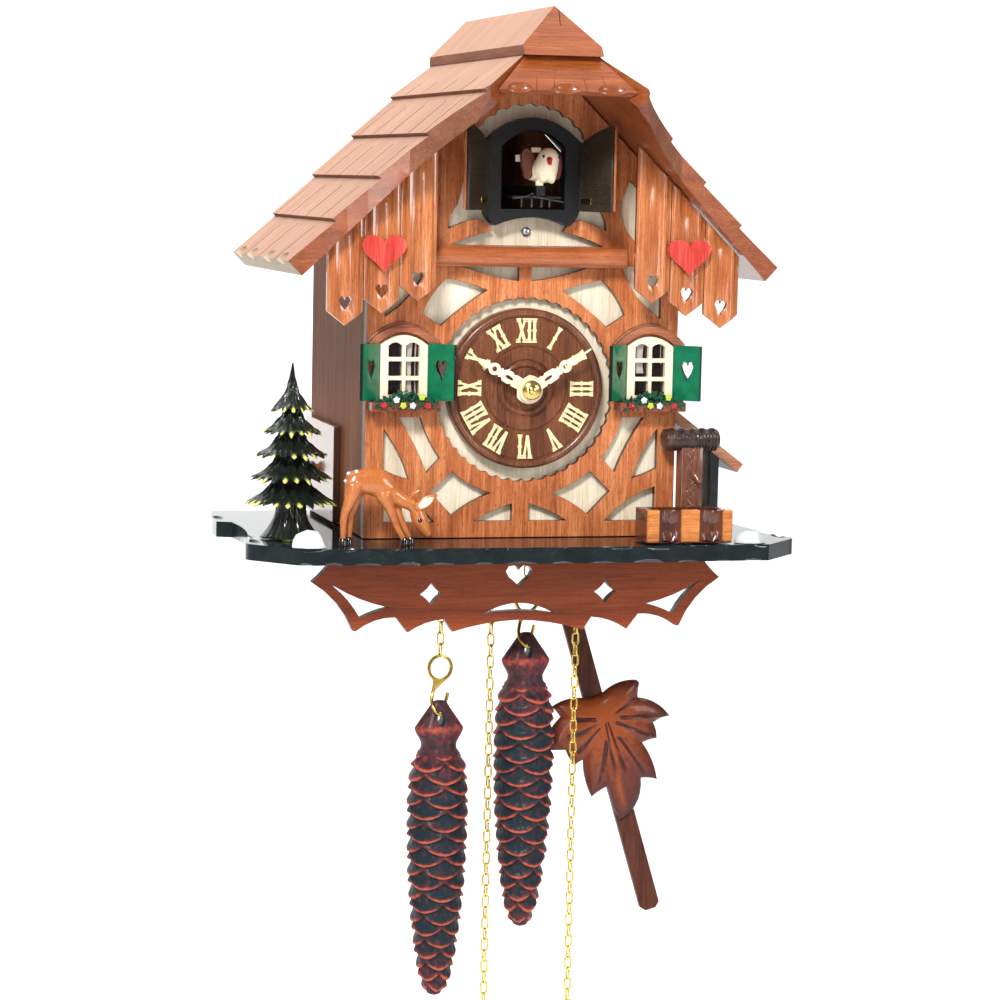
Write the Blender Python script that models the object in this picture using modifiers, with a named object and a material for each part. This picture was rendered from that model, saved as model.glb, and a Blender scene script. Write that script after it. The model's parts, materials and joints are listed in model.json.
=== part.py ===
"""Half-timbered cuckoo clock: a wooden house with dial, bird, movement, chains, cone weights and pendulum.

Lengths are in millimetres and are multiplied by MM where an object is made. The house frame has x to the
right, y back towards the wall, with 0 at the front of the fretted facade, and z up, with 0 at the top of the
base board. The row's own origin is the hanging point, on the back of the hanger rail.
"""
import math

import bmesh
import bpy
from mathutils import Matrix, Vector

MM = 0.001
GAP = 0.3

# The house
HALF_W = 70.5
WALL = 5.0
BACK_Y = 117.7
HANG_Z = 176.0
FRET_THICK = 3.2
BACKING_THICK = 3.5
DECK_THICK = 7.0

# The roof: both slopes fall at about 45 degrees from the ridge
RIDGE_Z = 229.8
ROOF_THICK = 8.5
EAVE_X = 109.2
ROW_FIRST_X = 17.8
ROWS = 5
BUTT = 1.8
CAP_THICK, CAP_HALF, CAP_DROP = 3.0, 17.2, 4.2
RIDGE_FRONT_Y = -37.0
HIP_X, HIP_Y, HIP_Z = 34.0, -65.0, 195.5
EAVE_FRONT_Y = -20.0
HIP_THICK = 6.0

# The front
DIAL_X, DIAL_Z, DIAL_R = 0.2, 66.0, 35.0
DIAL_FRONT = -4.6
HAND_THICK = 1.0
RING_X, RING_Z, RING_R, RING_SCALLOPS = 0.6, 65.3, 39.4, 44
BIRD_X = 1.3
LEAF_W, LEAF_Y = 20.4, -6.2
LEAF_LEFT_OPEN, LEAF_RIGHT_OPEN = 128.0, 116.0
WINDOW_X = (-54.35, 57.1)
SHUTTER_W, SHUTTER_H, SHUTTER_OPEN = 13.5, 24.4, 135.0
SLAT_W, SLAT_INNER_X = 15.77, 44.5
SLAT_TIPS_Z = (104.3, 98.9, 93.6)
HEART_X, HEART_Z = 68.0, 124.2

# The movement, the hanging parts and the pendulum
CHAIN_Y, CHAIN_R, SPROCKET_R = 25.0, 1.6, 11.6
SPROCKET_X = (-17.2, 22.4)
SPROCKET_Z = 64.0
FREE_END_Z = -232.0
CONE_TOP_Z = (-75.9, -45.8)
HOOK_LENGTH = 19.3
PIVOT_Y, PIVOT_Z = 60.0, 93.6
SWING = 16.86
ROD_LENGTH, ROD_W, ROD_THICK = 290.0, 9.5, 3.2
BOB_DROP = 194.0


# ---------------------------------------------------------------- scene and helpers

for old in list(bpy.data.objects):
    bpy.data.objects.remove(old, do_unlink=True)

PARTS = bpy.data.collections.new("cuckoo_clock")
CUTTERS = bpy.data.collections.new("cutters")
bpy.context.scene.collection.children.link(PARTS)
bpy.context.scene.collection.children.link(CUTTERS)

HOUSE = bpy.data.objects.new("house", None)
HOUSE.location = (0.0, -BACK_Y * MM, -HANG_Z * MM)
PARTS.objects.link(HOUSE)


def material(name, colour, roughness, metallic=0.0):
    made = bpy.data.materials.new(name)
    made.use_nodes = True
    shader = made.node_tree.nodes["Principled BSDF"]
    shader.inputs["Base Color"].default_value = (*colour, 1.0)
    shader.inputs["Roughness"].default_value = roughness
    shader.inputs["Metallic"].default_value = metallic
    made.diffuse_color = (*colour, 1.0)
    return made


RED_WOOD = material("red_wood", (0.42, 0.14, 0.05), 0.35)
ROOF_WOOD = material("roof_wood", (0.50, 0.27, 0.15), 0.40)
LIGHT_WOOD = material("light_wood", (0.74, 0.58, 0.38), 0.50)
DARK_WOOD = material("dark_wood", (0.10, 0.03, 0.015), 0.30)
DIAL_WOOD = material("dial_wood", (0.20, 0.07, 0.03), 0.35)
DECK_PAINT = material("deck_paint", (0.02, 0.05, 0.04), 0.15)
GREEN_PAINT = material("green_paint", (0.005, 0.16, 0.07), 0.25)
RED_PAINT = material("red_paint", (0.60, 0.05, 0.03), 0.30)
CREAM = material("cream_plastic", (0.85, 0.72, 0.50), 0.35)
BLACK = material("black_plastic", (0.015, 0.015, 0.018), 0.40)
BRASS = material("brass", (0.80, 0.58, 0.25), 0.25, 1.0)
STEEL = material("steel", (0.60, 0.60, 0.60), 0.30, 1.0)
IRON = material("painted_iron", (0.05, 0.02, 0.02), 0.40)
FIR = material("fir_green", (0.01, 0.04, 0.015), 0.50)
FAWN = material("fawn", (0.50, 0.20, 0.06), 0.40)
CARD = material("bellows_paper", (0.75, 0.72, 0.62), 0.80)


def put(data, name, finish, place=(0, 0, 0), turn=(0, 0, 0), parent=None):
    """A part of that name in the house frame, or in its parent empty's."""
    obj = bpy.data.objects.new(name, data)
    obj.location = Vector(place) * MM
    obj.rotation_euler = [math.radians(a) for a in turn]
    obj.parent = parent or HOUSE
    data.materials.append(finish)
    PARTS.objects.link(obj)
    return obj


def pivot(name, place, turn=(0, 0, 0)):
    """An empty on a joint's axis."""
    empty = bpy.data.objects.new(name, None)
    empty.location = Vector(place) * MM
    empty.rotation_euler = [math.radians(a) for a in turn]
    empty.parent = HOUSE
    PARTS.objects.link(empty)
    return empty


def outline(rows, steps=4):
    """Points along a closed outline. A row's third value bows the edge after it, to the left if positive."""
    points = []
    for row, after in zip(rows, rows[1:] + rows[:1]):
        p, q = Vector(row[:2]), Vector(after[:2])
        points.append(p)
        rise = row[2] if len(row) > 2 else 0.0
        if rise:
            side = Vector((p.y - q.y, q.x - p.x)).normalized()
            for i in range(1, steps):
                t = i / steps
                points.append(p.lerp(q, t) + side * rise * 4 * t * (1 - t))
    return points


def mirrored(points):
    return [Vector((-p[0], p[1])) for p in reversed(points)]


def moved(points, dx, dz):
    return [Vector((p[0] + dx, p[1] + dz)) for p in points]


def heart(x, z, width, height, steps=16):
    points = []
    for i in range(steps):
        t = 2 * math.pi * i / steps
        across = math.sin(t) ** 3
        up = (13 * math.cos(t) - 5 * math.cos(2 * t) - 2 * math.cos(3 * t) - math.cos(4 * t)) / 28.9
        points.append(Vector((x + across * width / 2, z + up * height + 0.09 * height)))
    return points


def arched(half, bottom, side_top, rise, x=0.0, steps=8):
    """An outline with straight sides and a bowed top."""
    rows = [(x - half, bottom), (x + half, bottom), (x + half, side_top, -rise), (x - half, side_top)]
    return outline(rows, steps)


def flat_curve(name, loops, thick):
    """A filled 2D curve, extruded to its thickness; loops inside the first are holes."""
    curve = bpy.data.curves.new(name, "CURVE")
    curve.dimensions = "2D"
    curve.fill_mode = "BOTH"
    curve.extrude = thick / 2 * MM
    for loop in loops:
        spline = curve.splines.new("POLY")
        spline.points.add(len(loop) - 1)
        for point, p in zip(spline.points, loop):
            point.co = (p[0] * MM, p[1] * MM, 0.0, 1.0)
        spline.use_cyclic_u = True
    return curve


def front_panel(name, loops, front, thick, finish, parent=None):
    """A board that faces the front, drawn in x and z."""
    place = (0, front + thick / 2, 0)
    return put(flat_curve(name, loops, thick), name, finish, place, (90, 0, 0), parent)


def side_panel(name, loops, left, thick, finish, hinge_y=0.0):
    """A board that faces sideways, drawn in y and z. A hinged one has its origin on the hinge line."""
    drawn = [moved(loop, -hinge_y, 0) for loop in loops]
    return put(flat_curve(name, drawn, thick), name, finish, (left + thick / 2, hinge_y, 0), (90, 0, 90))


def level_panel(name, loops, bottom, thick, finish):
    """A board that lies level, drawn in x and y."""
    return put(flat_curve(name, loops, thick), name, finish, (0, 0, bottom + thick / 2))


def as_mesh(obj):
    """The same part as a welded mesh, which can take a Boolean."""
    bpy.context.view_layer.update()
    graph = bpy.context.evaluated_depsgraph_get()
    mesh = bpy.data.meshes.new_from_object(obj.evaluated_get(graph))
    shape = bmesh.new()
    shape.from_mesh(mesh)
    bmesh.ops.remove_doubles(shape, verts=shape.verts, dist=0.00001)
    bmesh.ops.recalc_face_normals(shape, faces=shape.faces)
    shape.to_mesh(mesh)
    shape.free()
    name, home = obj.name, obj.users_collection[0]
    place, turn, parent = obj.location.copy(), obj.rotation_euler.copy(), obj.parent
    bpy.data.objects.remove(obj, do_unlink=True)
    made = bpy.data.objects.new(name, mesh)
    made.location, made.rotation_euler, made.parent = place, turn, parent
    home.objects.link(made)
    return made


def box_mesh(low, high):
    size = [b - a for a, b in zip(low, high)]
    centre = [(a + b) / 2 for a, b in zip(low, high)]
    shape = bmesh.new()
    bmesh.ops.create_cube(shape, size=1.0)
    bmesh.ops.scale(shape, vec=Vector(size) * MM, verts=shape.verts)
    bmesh.ops.translate(shape, vec=Vector(centre) * MM, verts=shape.verts)
    mesh = bpy.data.meshes.new("box")
    shape.to_mesh(mesh)
    shape.free()
    return mesh


def box(name, low, high, finish, origin=(0, 0, 0), parent=None):
    low = [a - b for a, b in zip(low, origin)]
    high = [a - b for a, b in zip(high, origin)]
    place = (0, 0, 0) if parent else origin
    return put(box_mesh(low, high), name, finish, place, parent=parent)


def turned(name, profile, place, finish, turn=(0, 0, 0), steps=24, closed=False, parent=None):
    """A turned shape from its (radius, height) profile, listed down its outer side."""
    mesh = bpy.data.meshes.new(name)
    edges = [(i, i + 1) for i in range(len(profile) - 1)]
    if closed:
        edges.append((len(profile) - 1, 0))
    mesh.from_pydata([(r * MM, 0.0, z * MM) for r, z in profile], edges, [])
    obj = put(mesh, name, finish, place, turn, parent)
    screw = obj.modifiers.new("turn", "SCREW")
    screw.steps = screw.render_steps = steps
    screw.use_merge_vertices = True
    screw.merge_threshold = 0.0001
    screw.use_smooth_shade = True
    return obj


def rod(name, points, radius, finish, parent=None):
    curve = bpy.data.curves.new(name, "CURVE")
    curve.dimensions = "3D"
    curve.bevel_depth = radius * MM
    curve.bevel_resolution = 2
    curve.use_fill_caps = True
    spline = curve.splines.new("POLY")
    spline.points.add(len(points) - 1)
    for point, p in zip(spline.points, points):
        point.co = (*(Vector(p) * MM), 1.0)
    return put(curve, name, finish, parent=parent)


def helper(obj):
    """Makes a part a cutter or a joined shape, which isn't shown by itself."""
    PARTS.objects.unlink(obj)
    CUTTERS.objects.link(obj)
    obj.hide_render = True
    obj.display_type = "WIRE"
    return obj


def combine(obj, other, operation, solver="EXACT"):
    change = obj.modifiers.new(other.name, "BOOLEAN")
    change.object = helper(other)
    change.operation = operation
    change.solver = solver


# ---------------------------------------------------------------- case

def under_roof(x):
    """Height of the roof boards' underside at that distance from the middle."""
    return RIDGE_Z - ROOF_THICK * math.sqrt(2) - abs(x)


def gable(half, bottom, clear):
    peak = under_roof(0) - clear
    side = under_roof(half) - clear
    return outline([(-half, bottom), (half, bottom), (half, side), (0, peak), (-half, side)])


def scalloped_ring():
    """The round hole about the dial: small bows outwards, with points between them."""
    points = []
    for i in range(RING_SCALLOPS):
        for part, lift in ((0.0, 0.0), (0.3, 1.0), (0.7, 1.0)):
            a = 2 * math.pi * (i + part) / RING_SCALLOPS
            r = RING_R + lift
            points.append(Vector((RING_X + r * math.sin(a), RING_Z + r * math.cos(a))))
    return points


def bird_surround():
    """The hole about the bird door: a scalloped arch, a scroll at each lower corner and a lens below."""
    arch = []
    scallops = 9
    for i in range(scallops):
        for part, lift in ((0.0, 0.0), (0.35, 1.1), (0.7, 1.1)):
            a = math.radians(58 - 116 * (i + part) / scallops)
            r = 29.0 + lift
            arch.append(Vector((0.4 + r * math.sin(a), 159.6 + r * math.cos(a))))
    lower_left = [
        (-25.3, 174.0), (-29.3, 152.6), (-31.1, 145.3, -0.6), (-34.8, 138.0), (-35.2, 135.0),
        (-31.3, 136.7, 0.4), (-22.5, 139.4, 1.0), (-15.4, 134.4, -0.6), (-33.9, 128.1),
    ]
    left = outline(lower_left + [(0.0, 128.1)], 3)[:-1]
    right = [Vector((1.2 - p.x, p.y)) for p in reversed(left)]
    return arch + left + right


def fret_holes():
    """The light fields between the timbers, on the right; the left ones mirror them."""
    fields = [
        [(2.8, 119.5), (2.8, 112.7, -0.8), (30.5, 119.5)],
        [(17.0, 108.6, 0.6), (37.7, 92.8), (45.8, 98.2, -1.2), (35.0, 113.6, -0.6)],
        [(43.8, 119.5, -2.6), (62.4, 96.6), (62.4, 119.5)],
        [(51.5, 128.6), (62.4, 128.6), (62.4, 143.0), (46.8, 157.4, -6.4)],
        [(62.2, 48.2, -1.2), (50.7, 26.1, -0.4), (62.2, 30.6)],
        [(45.8, 53.1, 0.9), (36.8, 35.2), (42.8, 28.7, 0.9), (55.7, 53.1)],
        [(31.4, 29.4, 1.1), (13.7, 19.9, 0.9), (30.9, 10.1), (40.9, 20.5)],
        [(3.8, 15.2), (3.8, 7.5), (21.2, 7.5, -0.7)],
        [(61.7, 22.4, -2.0), (38.6, 7.2), (61.7, 7.2)],
    ]
    right = [outline(rows) for rows in fields]
    return right + [mirrored(loop) for loop in right]


def make_case():
    fret = [gable(HALF_W, 0.3, 0.6), scalloped_ring(), bird_surround(), *fret_holes()]
    front_panel("facade_fretwork", fret, 0.0, FRET_THICK, RED_WOOD)

    arbor_hole = arched(6, DIAL_Z - 6, DIAL_Z + 3, 3, DIAL_X)
    bird_hole = arched(16.5, 141.5, 172.5, 8, BIRD_X)
    backing = [gable(HALF_W, 0.3, 0.6), arbor_hole, bird_hole]
    front_panel("facade_backing", backing, FRET_THICK + GAP, BACKING_THICK, LIGHT_WOOD)

    wall_front = FRET_THICK + 2 * GAP + BACKING_THICK
    wall_top = under_roof(HALF_W) - 0.5
    for side, left in (("left", -HALF_W), ("right", HALF_W - WALL)):
        wall = outline([(wall_front, 0.3), (BACK_Y, 0.3), (BACK_Y, wall_top), (wall_front, wall_top)])
        hatch = outline([(56, 8), (106, 8), (106, 39), (56, 39)])
        side_panel(f"side_wall_{side}", [wall, hatch], left, WALL, RED_WOOD)

    inside = HALF_W - WALL - 0.6
    hinge = pivot("rear_hinge", (-inside, BACK_Y, 0))
    panel = outline([(0, 0.8), (2 * inside, 0.8), (2 * inside, 140.0), (0, 140.0)])
    front_panel("rear_panel", [panel], -3.2, 3.2, RED_WOOD, parent=hinge)

    rail_top = under_roof(inside) - 0.6
    rail = outline([(-inside, 140.6), (inside, 140.6), (inside, rail_top), (0, under_roof(0) - 0.6),
                    (-inside, rail_top)])
    hook_hole = arched(3.0, 161.0, 165.0, 3.0)
    front_panel("hanger_rail", [rail, hook_hole], BACK_Y - 5.0, 5.0, RED_WOOD)


def make_deck():
    half = outline([
        (0, -36.5, 0.8), (52, -36.5, 0.8), (104, -34.0), (120.5, -15.0, -1.0), (123.7, -8.0, 1.6),
        (117.0, 24.0, 0.6), (115.0, 54.0), (116.0, 70.0), (122.5, 73.0, -1.5), (117.0, BACK_Y - 0.3),
        (0, BACK_Y - 0.3),
    ])[:-1]
    holes = []
    for x in SPROCKET_X:
        for side in (-SPROCKET_R, SPROCKET_R):
            rows = [(x + side + 3.2 * math.cos(a), CHAIN_Y + 3.2 * math.sin(a))
                    for a in (i * math.pi / 5 for i in range(10))]
            holes.append(outline(rows))
    slot = outline([(-37, PIVOT_Y - 3.6), (37, PIVOT_Y - 3.6), (37, PIVOT_Y + 3.6), (-37, PIVOT_Y + 3.6)])
    loops = [half + mirrored(half[1:]), *holes, slot]
    level_panel("base_board", loops, -DECK_THICK, DECK_THICK, DECK_PAINT)


def make_apron():
    half = outline([
        (83.0, -DECK_THICK - GAP, -0.6), (93.0, -18.6, -2.4), (74.4, -40.2), (73.0, -40.2, -1.6),
        (55.4, -34.4), (50.0, -41.3, -1.2), (33.6, -35.6), (29.8, -41.3, -1.0), (0, -36.4),
    ])
    diamond = outline([(39.7, -29.4, 0.5), (44.7, -24.4, 0.5), (39.7, -19.4, 0.5), (34.7, -24.4, 0.5)])
    corner = outline([(83.8, -20.0, 1.2), (58.6, -30.1, 0.5), (71.4, -34.6, 1.0)])
    crescent = outline([(-16.4, -33.8, 1.6), (16.4, -33.8, -4.9)], 8)
    cuts = [heart(0, -17.0, 12.0, 9.8), crescent, diamond, mirrored(diamond), corner, mirrored(corner)]
    front_panel("apron", [half + mirrored(half)[1:], *cuts], -0.5, 5.0, RED_WOOD)


def make_slats():
    """Three pointed boards side by side, each with a heart and a little lower than its inner neighbour."""
    rows = [(SLAT_INNER_X, under_roof(SLAT_INNER_X) - 0.8)]
    hearts = []
    for i, tip in enumerate(SLAT_TIPS_Z):
        x = SLAT_INNER_X + i * SLAT_W
        rows += [(x, tip + 6.2), (x + SLAT_W / 2, tip), (x + SLAT_W, tip + 6.2)]
        hearts.append(heart(x + SLAT_W / 2, tip + 9.2, 5.6, 6.6, 12))
    rows.append((SLAT_INNER_X + 3 * SLAT_W, under_roof(SLAT_INNER_X + 3 * SLAT_W) - 0.8))
    right = [outline(rows), *hearts]
    left = [mirrored(loop) for loop in right]
    front_panel("slats_right", right, -19.0, 3.0, RED_WOOD)
    front_panel("slats_left", left, -19.0, 3.0, RED_WOOD)
    for side, x in (("left", -HEART_X), ("right", HEART_X)):
        front_panel(f"heart_{side}", [heart(x, HEART_Z, 19.6, 16.0, 24)], -21.9, 2.6, RED_PAINT)
    beam = rod("beam_rail", [(-44.2, -5.1, 123.4), (44.2, -5.1, 123.4)], 4.7, RED_WOOD)
    beam.data.bevel_resolution = 3


# ---------------------------------------------------------------- roof

def roof_section():
    """The right slope across the ridge: its flat underside, the eave and the stepped shingle rows."""
    down = ROOF_THICK * math.sqrt(2)
    cap = (CAP_THICK + GAP) * math.sqrt(2)
    rows = [(0.15, RIDGE_Z - down), (0.15, RIDGE_Z - cap), (ROW_FIRST_X, RIDGE_Z - cap - ROW_FIRST_X)]
    pitch = (EAVE_X - ROW_FIRST_X) / ROWS
    step = BUTT / math.sqrt(2)
    for i in range(1, ROWS + 1):
        x = ROW_FIRST_X + i * pitch
        rows.append((x, RIDGE_Z - x))
        if i < ROWS:
            rows.append((x - step, RIDGE_Z - x - step))
    out = ROOF_THICK / math.sqrt(2)
    rows.append((EAVE_X - out, RIDGE_Z - EAVE_X - out))
    return list(reversed(outline(rows)))


def roof_plan():
    """The right slope from above: the hip, then the front edge sweeping back to the eave."""
    return outline([
        (0.15, RIDGE_FRONT_Y + 0.8), (HIP_X, HIP_Y + 0.8, 3.0), (60.0, -31.5, 0.8),
        (EAVE_X + 1, EAVE_FRONT_Y),
        (EAVE_X + 1, 114.5), (0.15, 114.5),
    ], 6)


def prism(name, loop, low, high, standing):
    """A solid from an outline: standing ones are drawn in x and z and run along y."""
    thick, middle = high - low, (low + high) / 2
    if standing:
        obj = put(flat_curve(name, [loop], thick), name, ROOF_WOOD, (0, middle, 0), (90, 0, 0))
    else:
        obj = put(flat_curve(name, [loop], thick), name, ROOF_WOOD, (0, 0, middle))
    return as_mesh(obj)


def hip_slab(name, thick, above, spread=70.0, reach=60.0):
    """A slab on the hip's slope, from `above` over its surface down to `thick` below that."""
    drop = math.hypot(HIP_Y - RIDGE_FRONT_Y, RIDGE_Z - HIP_Z)
    back = Vector((0, RIDGE_FRONT_Y - HIP_Y, RIDGE_Z - HIP_Z)) / drop
    out = Vector((0, -back.z, back.y))
    mesh = box_mesh((-spread, -reach, above - thick), (spread, 12.0, above))
    obj = put(mesh, name, ROOF_WOOD)
    frame = Matrix((Vector((1, 0, 0)), back, out)).transposed().to_4x4()
    frame.translation = Vector((0, RIDGE_FRONT_Y, RIDGE_Z)) * MM
    obj.data.transform(frame)
    return obj


def make_roof():
    for side, flip in (("right", 1), ("left", -1)):
        section, plan = roof_section(), roof_plan()
        if flip < 0:
            section, plan = mirrored(section), mirrored(plan)
        slope = prism(f"roof_{side}", section, -70.0, 120.0, True)
        combine(slope, prism(f"roof_{side}_plan", plan, 90.0, 240.0, False), "INTERSECT")

    # The cap: a hollow tent over the ridge, cut back to the hip's slope at the front.
    eave_z = RIDGE_Z - CAP_HALF
    outer = outline([
        (-CAP_HALF, eave_z - CAP_DROP), (CAP_HALF, eave_z - CAP_DROP), (CAP_HALF, eave_z), (0, RIDGE_Z),
        (-CAP_HALF, eave_z),
    ])
    lift = CAP_THICK * math.sqrt(2)
    inner = outline([(-30, RIDGE_Z - 30 - lift), (30, RIDGE_Z - 30 - lift), (0, RIDGE_Z - lift)])
    cap = prism("ridge_cap", outer, -70.0, 114.5, True)
    hollow = prism("cap_hollow", inner, -75.0, 120.0, True)
    combine(hollow, hip_slab("hollow_front", 60.0, 60.0 - CAP_THICK, 60.0, 70.0), "DIFFERENCE")
    combine(cap, hip_slab("cap_front", 60.0, 60.0), "DIFFERENCE")
    combine(cap, hollow, "DIFFERENCE")

    # The hip panel fills the triangle between the slopes, under the cap.
    plan = outline([(0, RIDGE_FRONT_Y - 0.4), (-HIP_X, HIP_Y - 0.4), (HIP_X, HIP_Y - 0.4)])
    panel = hip_slab("hip_panel", HIP_THICK - CAP_THICK - GAP, -CAP_THICK - GAP, 40.0, 44.0)
    combine(panel, prism("hip_plan", plan, 150.0, 240.0, False), "INTERSECT")


# ---------------------------------------------------------------- figures on the deck

def make_tree():
    tiers = ((9.4, 54.8), (12.6, 44.6), (15.0, 34.8), (17.2, 24.6), (19.4, 14.2))
    profile = [(0.0, 74.0)]
    for r, z in tiers:
        profile += [(r, z), (r * 0.45, z + 1.6)]
    profile += [(3.2, 6.0), (9.0, 0.4), (0.0, 0.4)]
    turned("fir_tree", profile, (-101.6, 5.0, 0), FIR, steps=18)


def make_deer():
    body = outline([
        (-85.6, 0.4), (-81.0, 0.4), (-81.4, 8.0, 0.6), (-76.5, 17.0, -0.8), (-64.5, 15.5), (-61.5, 8.0),
        (-58.2, 0.4), (-53.2, 0.4), (-56.0, 7.0), (-57.0, 13.0, 0.8), (-51.5, 8.5), (-48.4, 2.4, 0.8),
        (-44.8, 4.6), (-46.6, 11.5), (-44.6, 21.8, 0.8), (-51.0, 17.6), (-58.5, 22.0, 1.4), (-66.0, 30.4, -1.0),
        (-75.0, 33.6, -1.4), (-83.4, 28.0, -0.6), (-86.0, 20.0), (-83.4, 12.0),
    ], 3)
    front_panel("deer", [list(reversed(body))], -26.0, 8.0, FAWN)


def make_well():
    trough = box("trough", (48.8, -30.0, 0.4), (88.2, -13.2, 14.8), DARK_WOOD)
    hollow = box("trough_hollow", (53.0, -27.0, 11.4), (84.0, -16.0, 20.0), DARK_WOOD)
    combine(trough, hollow, "DIFFERENCE")
    post = box("well_post", (70.0, -12.2, 0.4), (80.0, -3.6, 42.0), DARK_WOOD)
    combine(post, box("spout", (72.6, -17.0, 22.0), (77.4, -11.0, 28.0), DARK_WOOD), "UNION")
    log = as_mesh(rod("cap_log", [(62.4, -8.4, 44.4), (87.4, -8.4, 44.4)], 5.7, DARK_WOOD))
    combine(post, log, "UNION")
    lean_to = outline([
        (71.2, 51.6), (90.6, 37.0), (90.6, 0.4), (94.6, 0.4), (94.6, 34.0), (103.6, 27.2), (106.4, 31.0),
        (71.2, 57.4),
    ])
    front_panel("shed", [lean_to], 9.0, 26.0, DARK_WOOD)


# ---------------------------------------------------------------- windows

def make_window(side, x):
    panes = []
    for column in (-3.85, 3.85):
        for low, high, rise in ((63.0, 69.4, 0.0), (71.2, 77.6, 0.0), (79.4, 84.4, 1.4)):
            panes.append(arched(3.05, low, high, rise, x + column, 4))
    frame = arched(10.45, 60.7, 84.7, 4.3, x)
    front_panel(f"window_{side}", [frame, *panes], -3.3, 3.0, CREAM)
    box(f"flower_box_{side}", (x - 15.2, -9.4, 56.3), (x + 15.2, -0.3, 60.3), RED_WOOD)
    for hinge_side, sign in (("left", -1), ("right", 1)):
        hinge_x = x + sign * 11.2
        leaf = outline([(0, 61.0), (SHUTTER_W, 61.0), (SHUTTER_W, 61.0 + SHUTTER_H), (0, 61.0 + SHUTTER_H)])
        loops = [leaf, heart(SHUTTER_W * 0.52, 74.2, 6.0, 8.6, 12)]
        angle = -sign * (180.0 - SHUTTER_OPEN)
        if sign < 0:
            loops = [mirrored(loop) for loop in loops]
        panel = flat_curve("shutter", loops, 1.8)
        name = f"shutter_{side}_{hinge_side}"
        put(panel, name, GREEN_PAINT, (hinge_x, -2.2, 0), (90, 0, angle))


# ---------------------------------------------------------------- dial and hands

def make_dial():
    front, back = -DIAL_FRONT, -FRET_THICK
    profile = [
        (32.6, front), (34.2, front), (DIAL_R, front - 1.0), (DIAL_R, back), (3.4, back), (3.4, front - 1.0),
        (9.0, front - 1.0), (9.6, front - 0.5), (11.2, front - 0.5), (12.0, front - 1.4), (17.4, front - 1.4),
        (18.2, front - 1.0), (30.4, front - 1.0), (31.4, front - 0.4),
    ]
    place = (DIAL_X, 0, DIAL_Z)
    turned("dial", profile, place, DIAL_WOOD, (90, 0, 0), 40, closed=True)


def hand_outline(length, hub, wide):
    """A pierced hand, pointing up from its hub: a bar, a crossed ring and a slim tip."""
    half = [
        (hub * 0.7, hub * 0.7), (wide * 0.35, hub + 1.4), (wide * 0.5, length * 0.36), (wide, length * 0.42),
        (wide * 0.55, length * 0.48), (wide * 0.8, length * 0.58), (wide * 0.4, length * 0.66),
        (0.5, length * 0.72), (0.3, length),
    ]
    right = outline(half)
    round_hub = [Vector((hub * math.sin(a), hub * math.cos(a)))
                 for a in (math.radians(45 + 270 * i / 12) for i in range(1, 12))]
    return right + mirrored(right) + list(reversed(round_hub))


def make_hands():
    bore = outline([(1.6 * math.cos(a), 1.6 * math.sin(a)) for a in (i * math.pi / 6 for i in range(12))])
    for name, front, length, hub, wide, angle in (
        ("hour_hand", -9.6, 28.0, 6.2, 3.4, -59.8),
        ("minute_hand", -12.6, 32.5, 5.0, 3.2, 55.2),
    ):
        hand = flat_curve(name, [hand_outline(length, hub, wide), bore], HAND_THICK)
        put(hand, name, CREAM, (DIAL_X, front + HAND_THICK / 2, DIAL_Z), (90, angle, 0))
    nut = [
        (0.0, 17.2), (2.2, 16.8), (4.2, 14.6), (4.2, 13.0), (1.2, 13.0), (1.2, -22.0), (0.0, -22.0),
    ]
    turned("arbor_nut", nut, (DIAL_X, 0, DIAL_Z), BRASS, (90, 0, 0), 16)


# ---------------------------------------------------------------- bird door

def make_bird_door():
    rows = [
        (-21.1, 143.4, -0.8), (-16.6, 136.8, 3.7), (16.6, 136.8, -0.8), (21.1, 143.4), (21.1, 173.4, -10.2),
        (-21.1, 173.4),
    ]
    frame = moved(outline(rows, 8), BIRD_X, 0)
    opening = arched(14.3, 144.0, 171.0, 7.2, BIRD_X)
    front_panel("bird_door_frame", [frame, opening], -5.0, 8.2, BLACK)
    leaf = outline([(0, 143.4), (LEAF_W, 143.4), (LEAF_W, 180.6, -0.8), (0, 172.6)])
    for side, sign, open_by in (("left", -1, LEAF_LEFT_OPEN), ("right", 1, LEAF_RIGHT_OPEN)):
        loop = leaf if sign < 0 else mirrored(leaf)
        name = f"bird_door_{side}"
        place = (BIRD_X + sign * 20.9, LEAF_Y, 0)
        put(flat_curve(name, [loop], 1.6), name, BLACK, place, (90, 0, sign * open_by))

    carriage = pivot("bird_carriage", (2.0, -12.0, 162.5))
    shape = bmesh.new()
    bmesh.ops.create_uvsphere(shape, u_segments=16, v_segments=10, radius=8.0 * MM)
    bmesh.ops.scale(shape, vec=(1.0, 0.85, 0.95), verts=shape.verts)
    mesh = bpy.data.meshes.new("bird")
    shape.to_mesh(mesh)
    shape.free()
    mesh.shade_smooth()
    put(mesh, "bird", CREAM, parent=carriage)
    box("bird_arm", (-2.0, -3.0, -12.6), (2.0, 52.0, -8.2), CREAM, parent=carriage)


# ---------------------------------------------------------------- side doors and the movement

def make_side_doors():
    for side, sign in (("left", -1), ("right", 1)):
        inner = sign * (HALF_W + 0.4)
        outer = sign * (HALF_W + 3.3)
        left = min(inner, outer)
        loop = outline([(49.5, 1.7), (112.8, 1.7), (112.8, 45.0), (49.5, 45.0)])
        door = as_mesh(side_panel(f"side_door_{side}", [loop], left, 2.9, RED_WOOD, hinge_y=112.8))
        knob_profile = [(0.0, 4.2), (2.8, 3.2), (2.8, 1.6), (1.4, 0.4), (1.4, -1.0), (0.0, -1.0)]
        knob = turned(f"knob_{side}", knob_profile, (outer, 86.0, 23.4), DARK_WOOD, (0, sign * 90, 0), 12)
        combine(door, knob, "UNION")


def plate_loop(low, high):
    return outline([(-44, low), (48, low), (48, high), (-44, high)])


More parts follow.
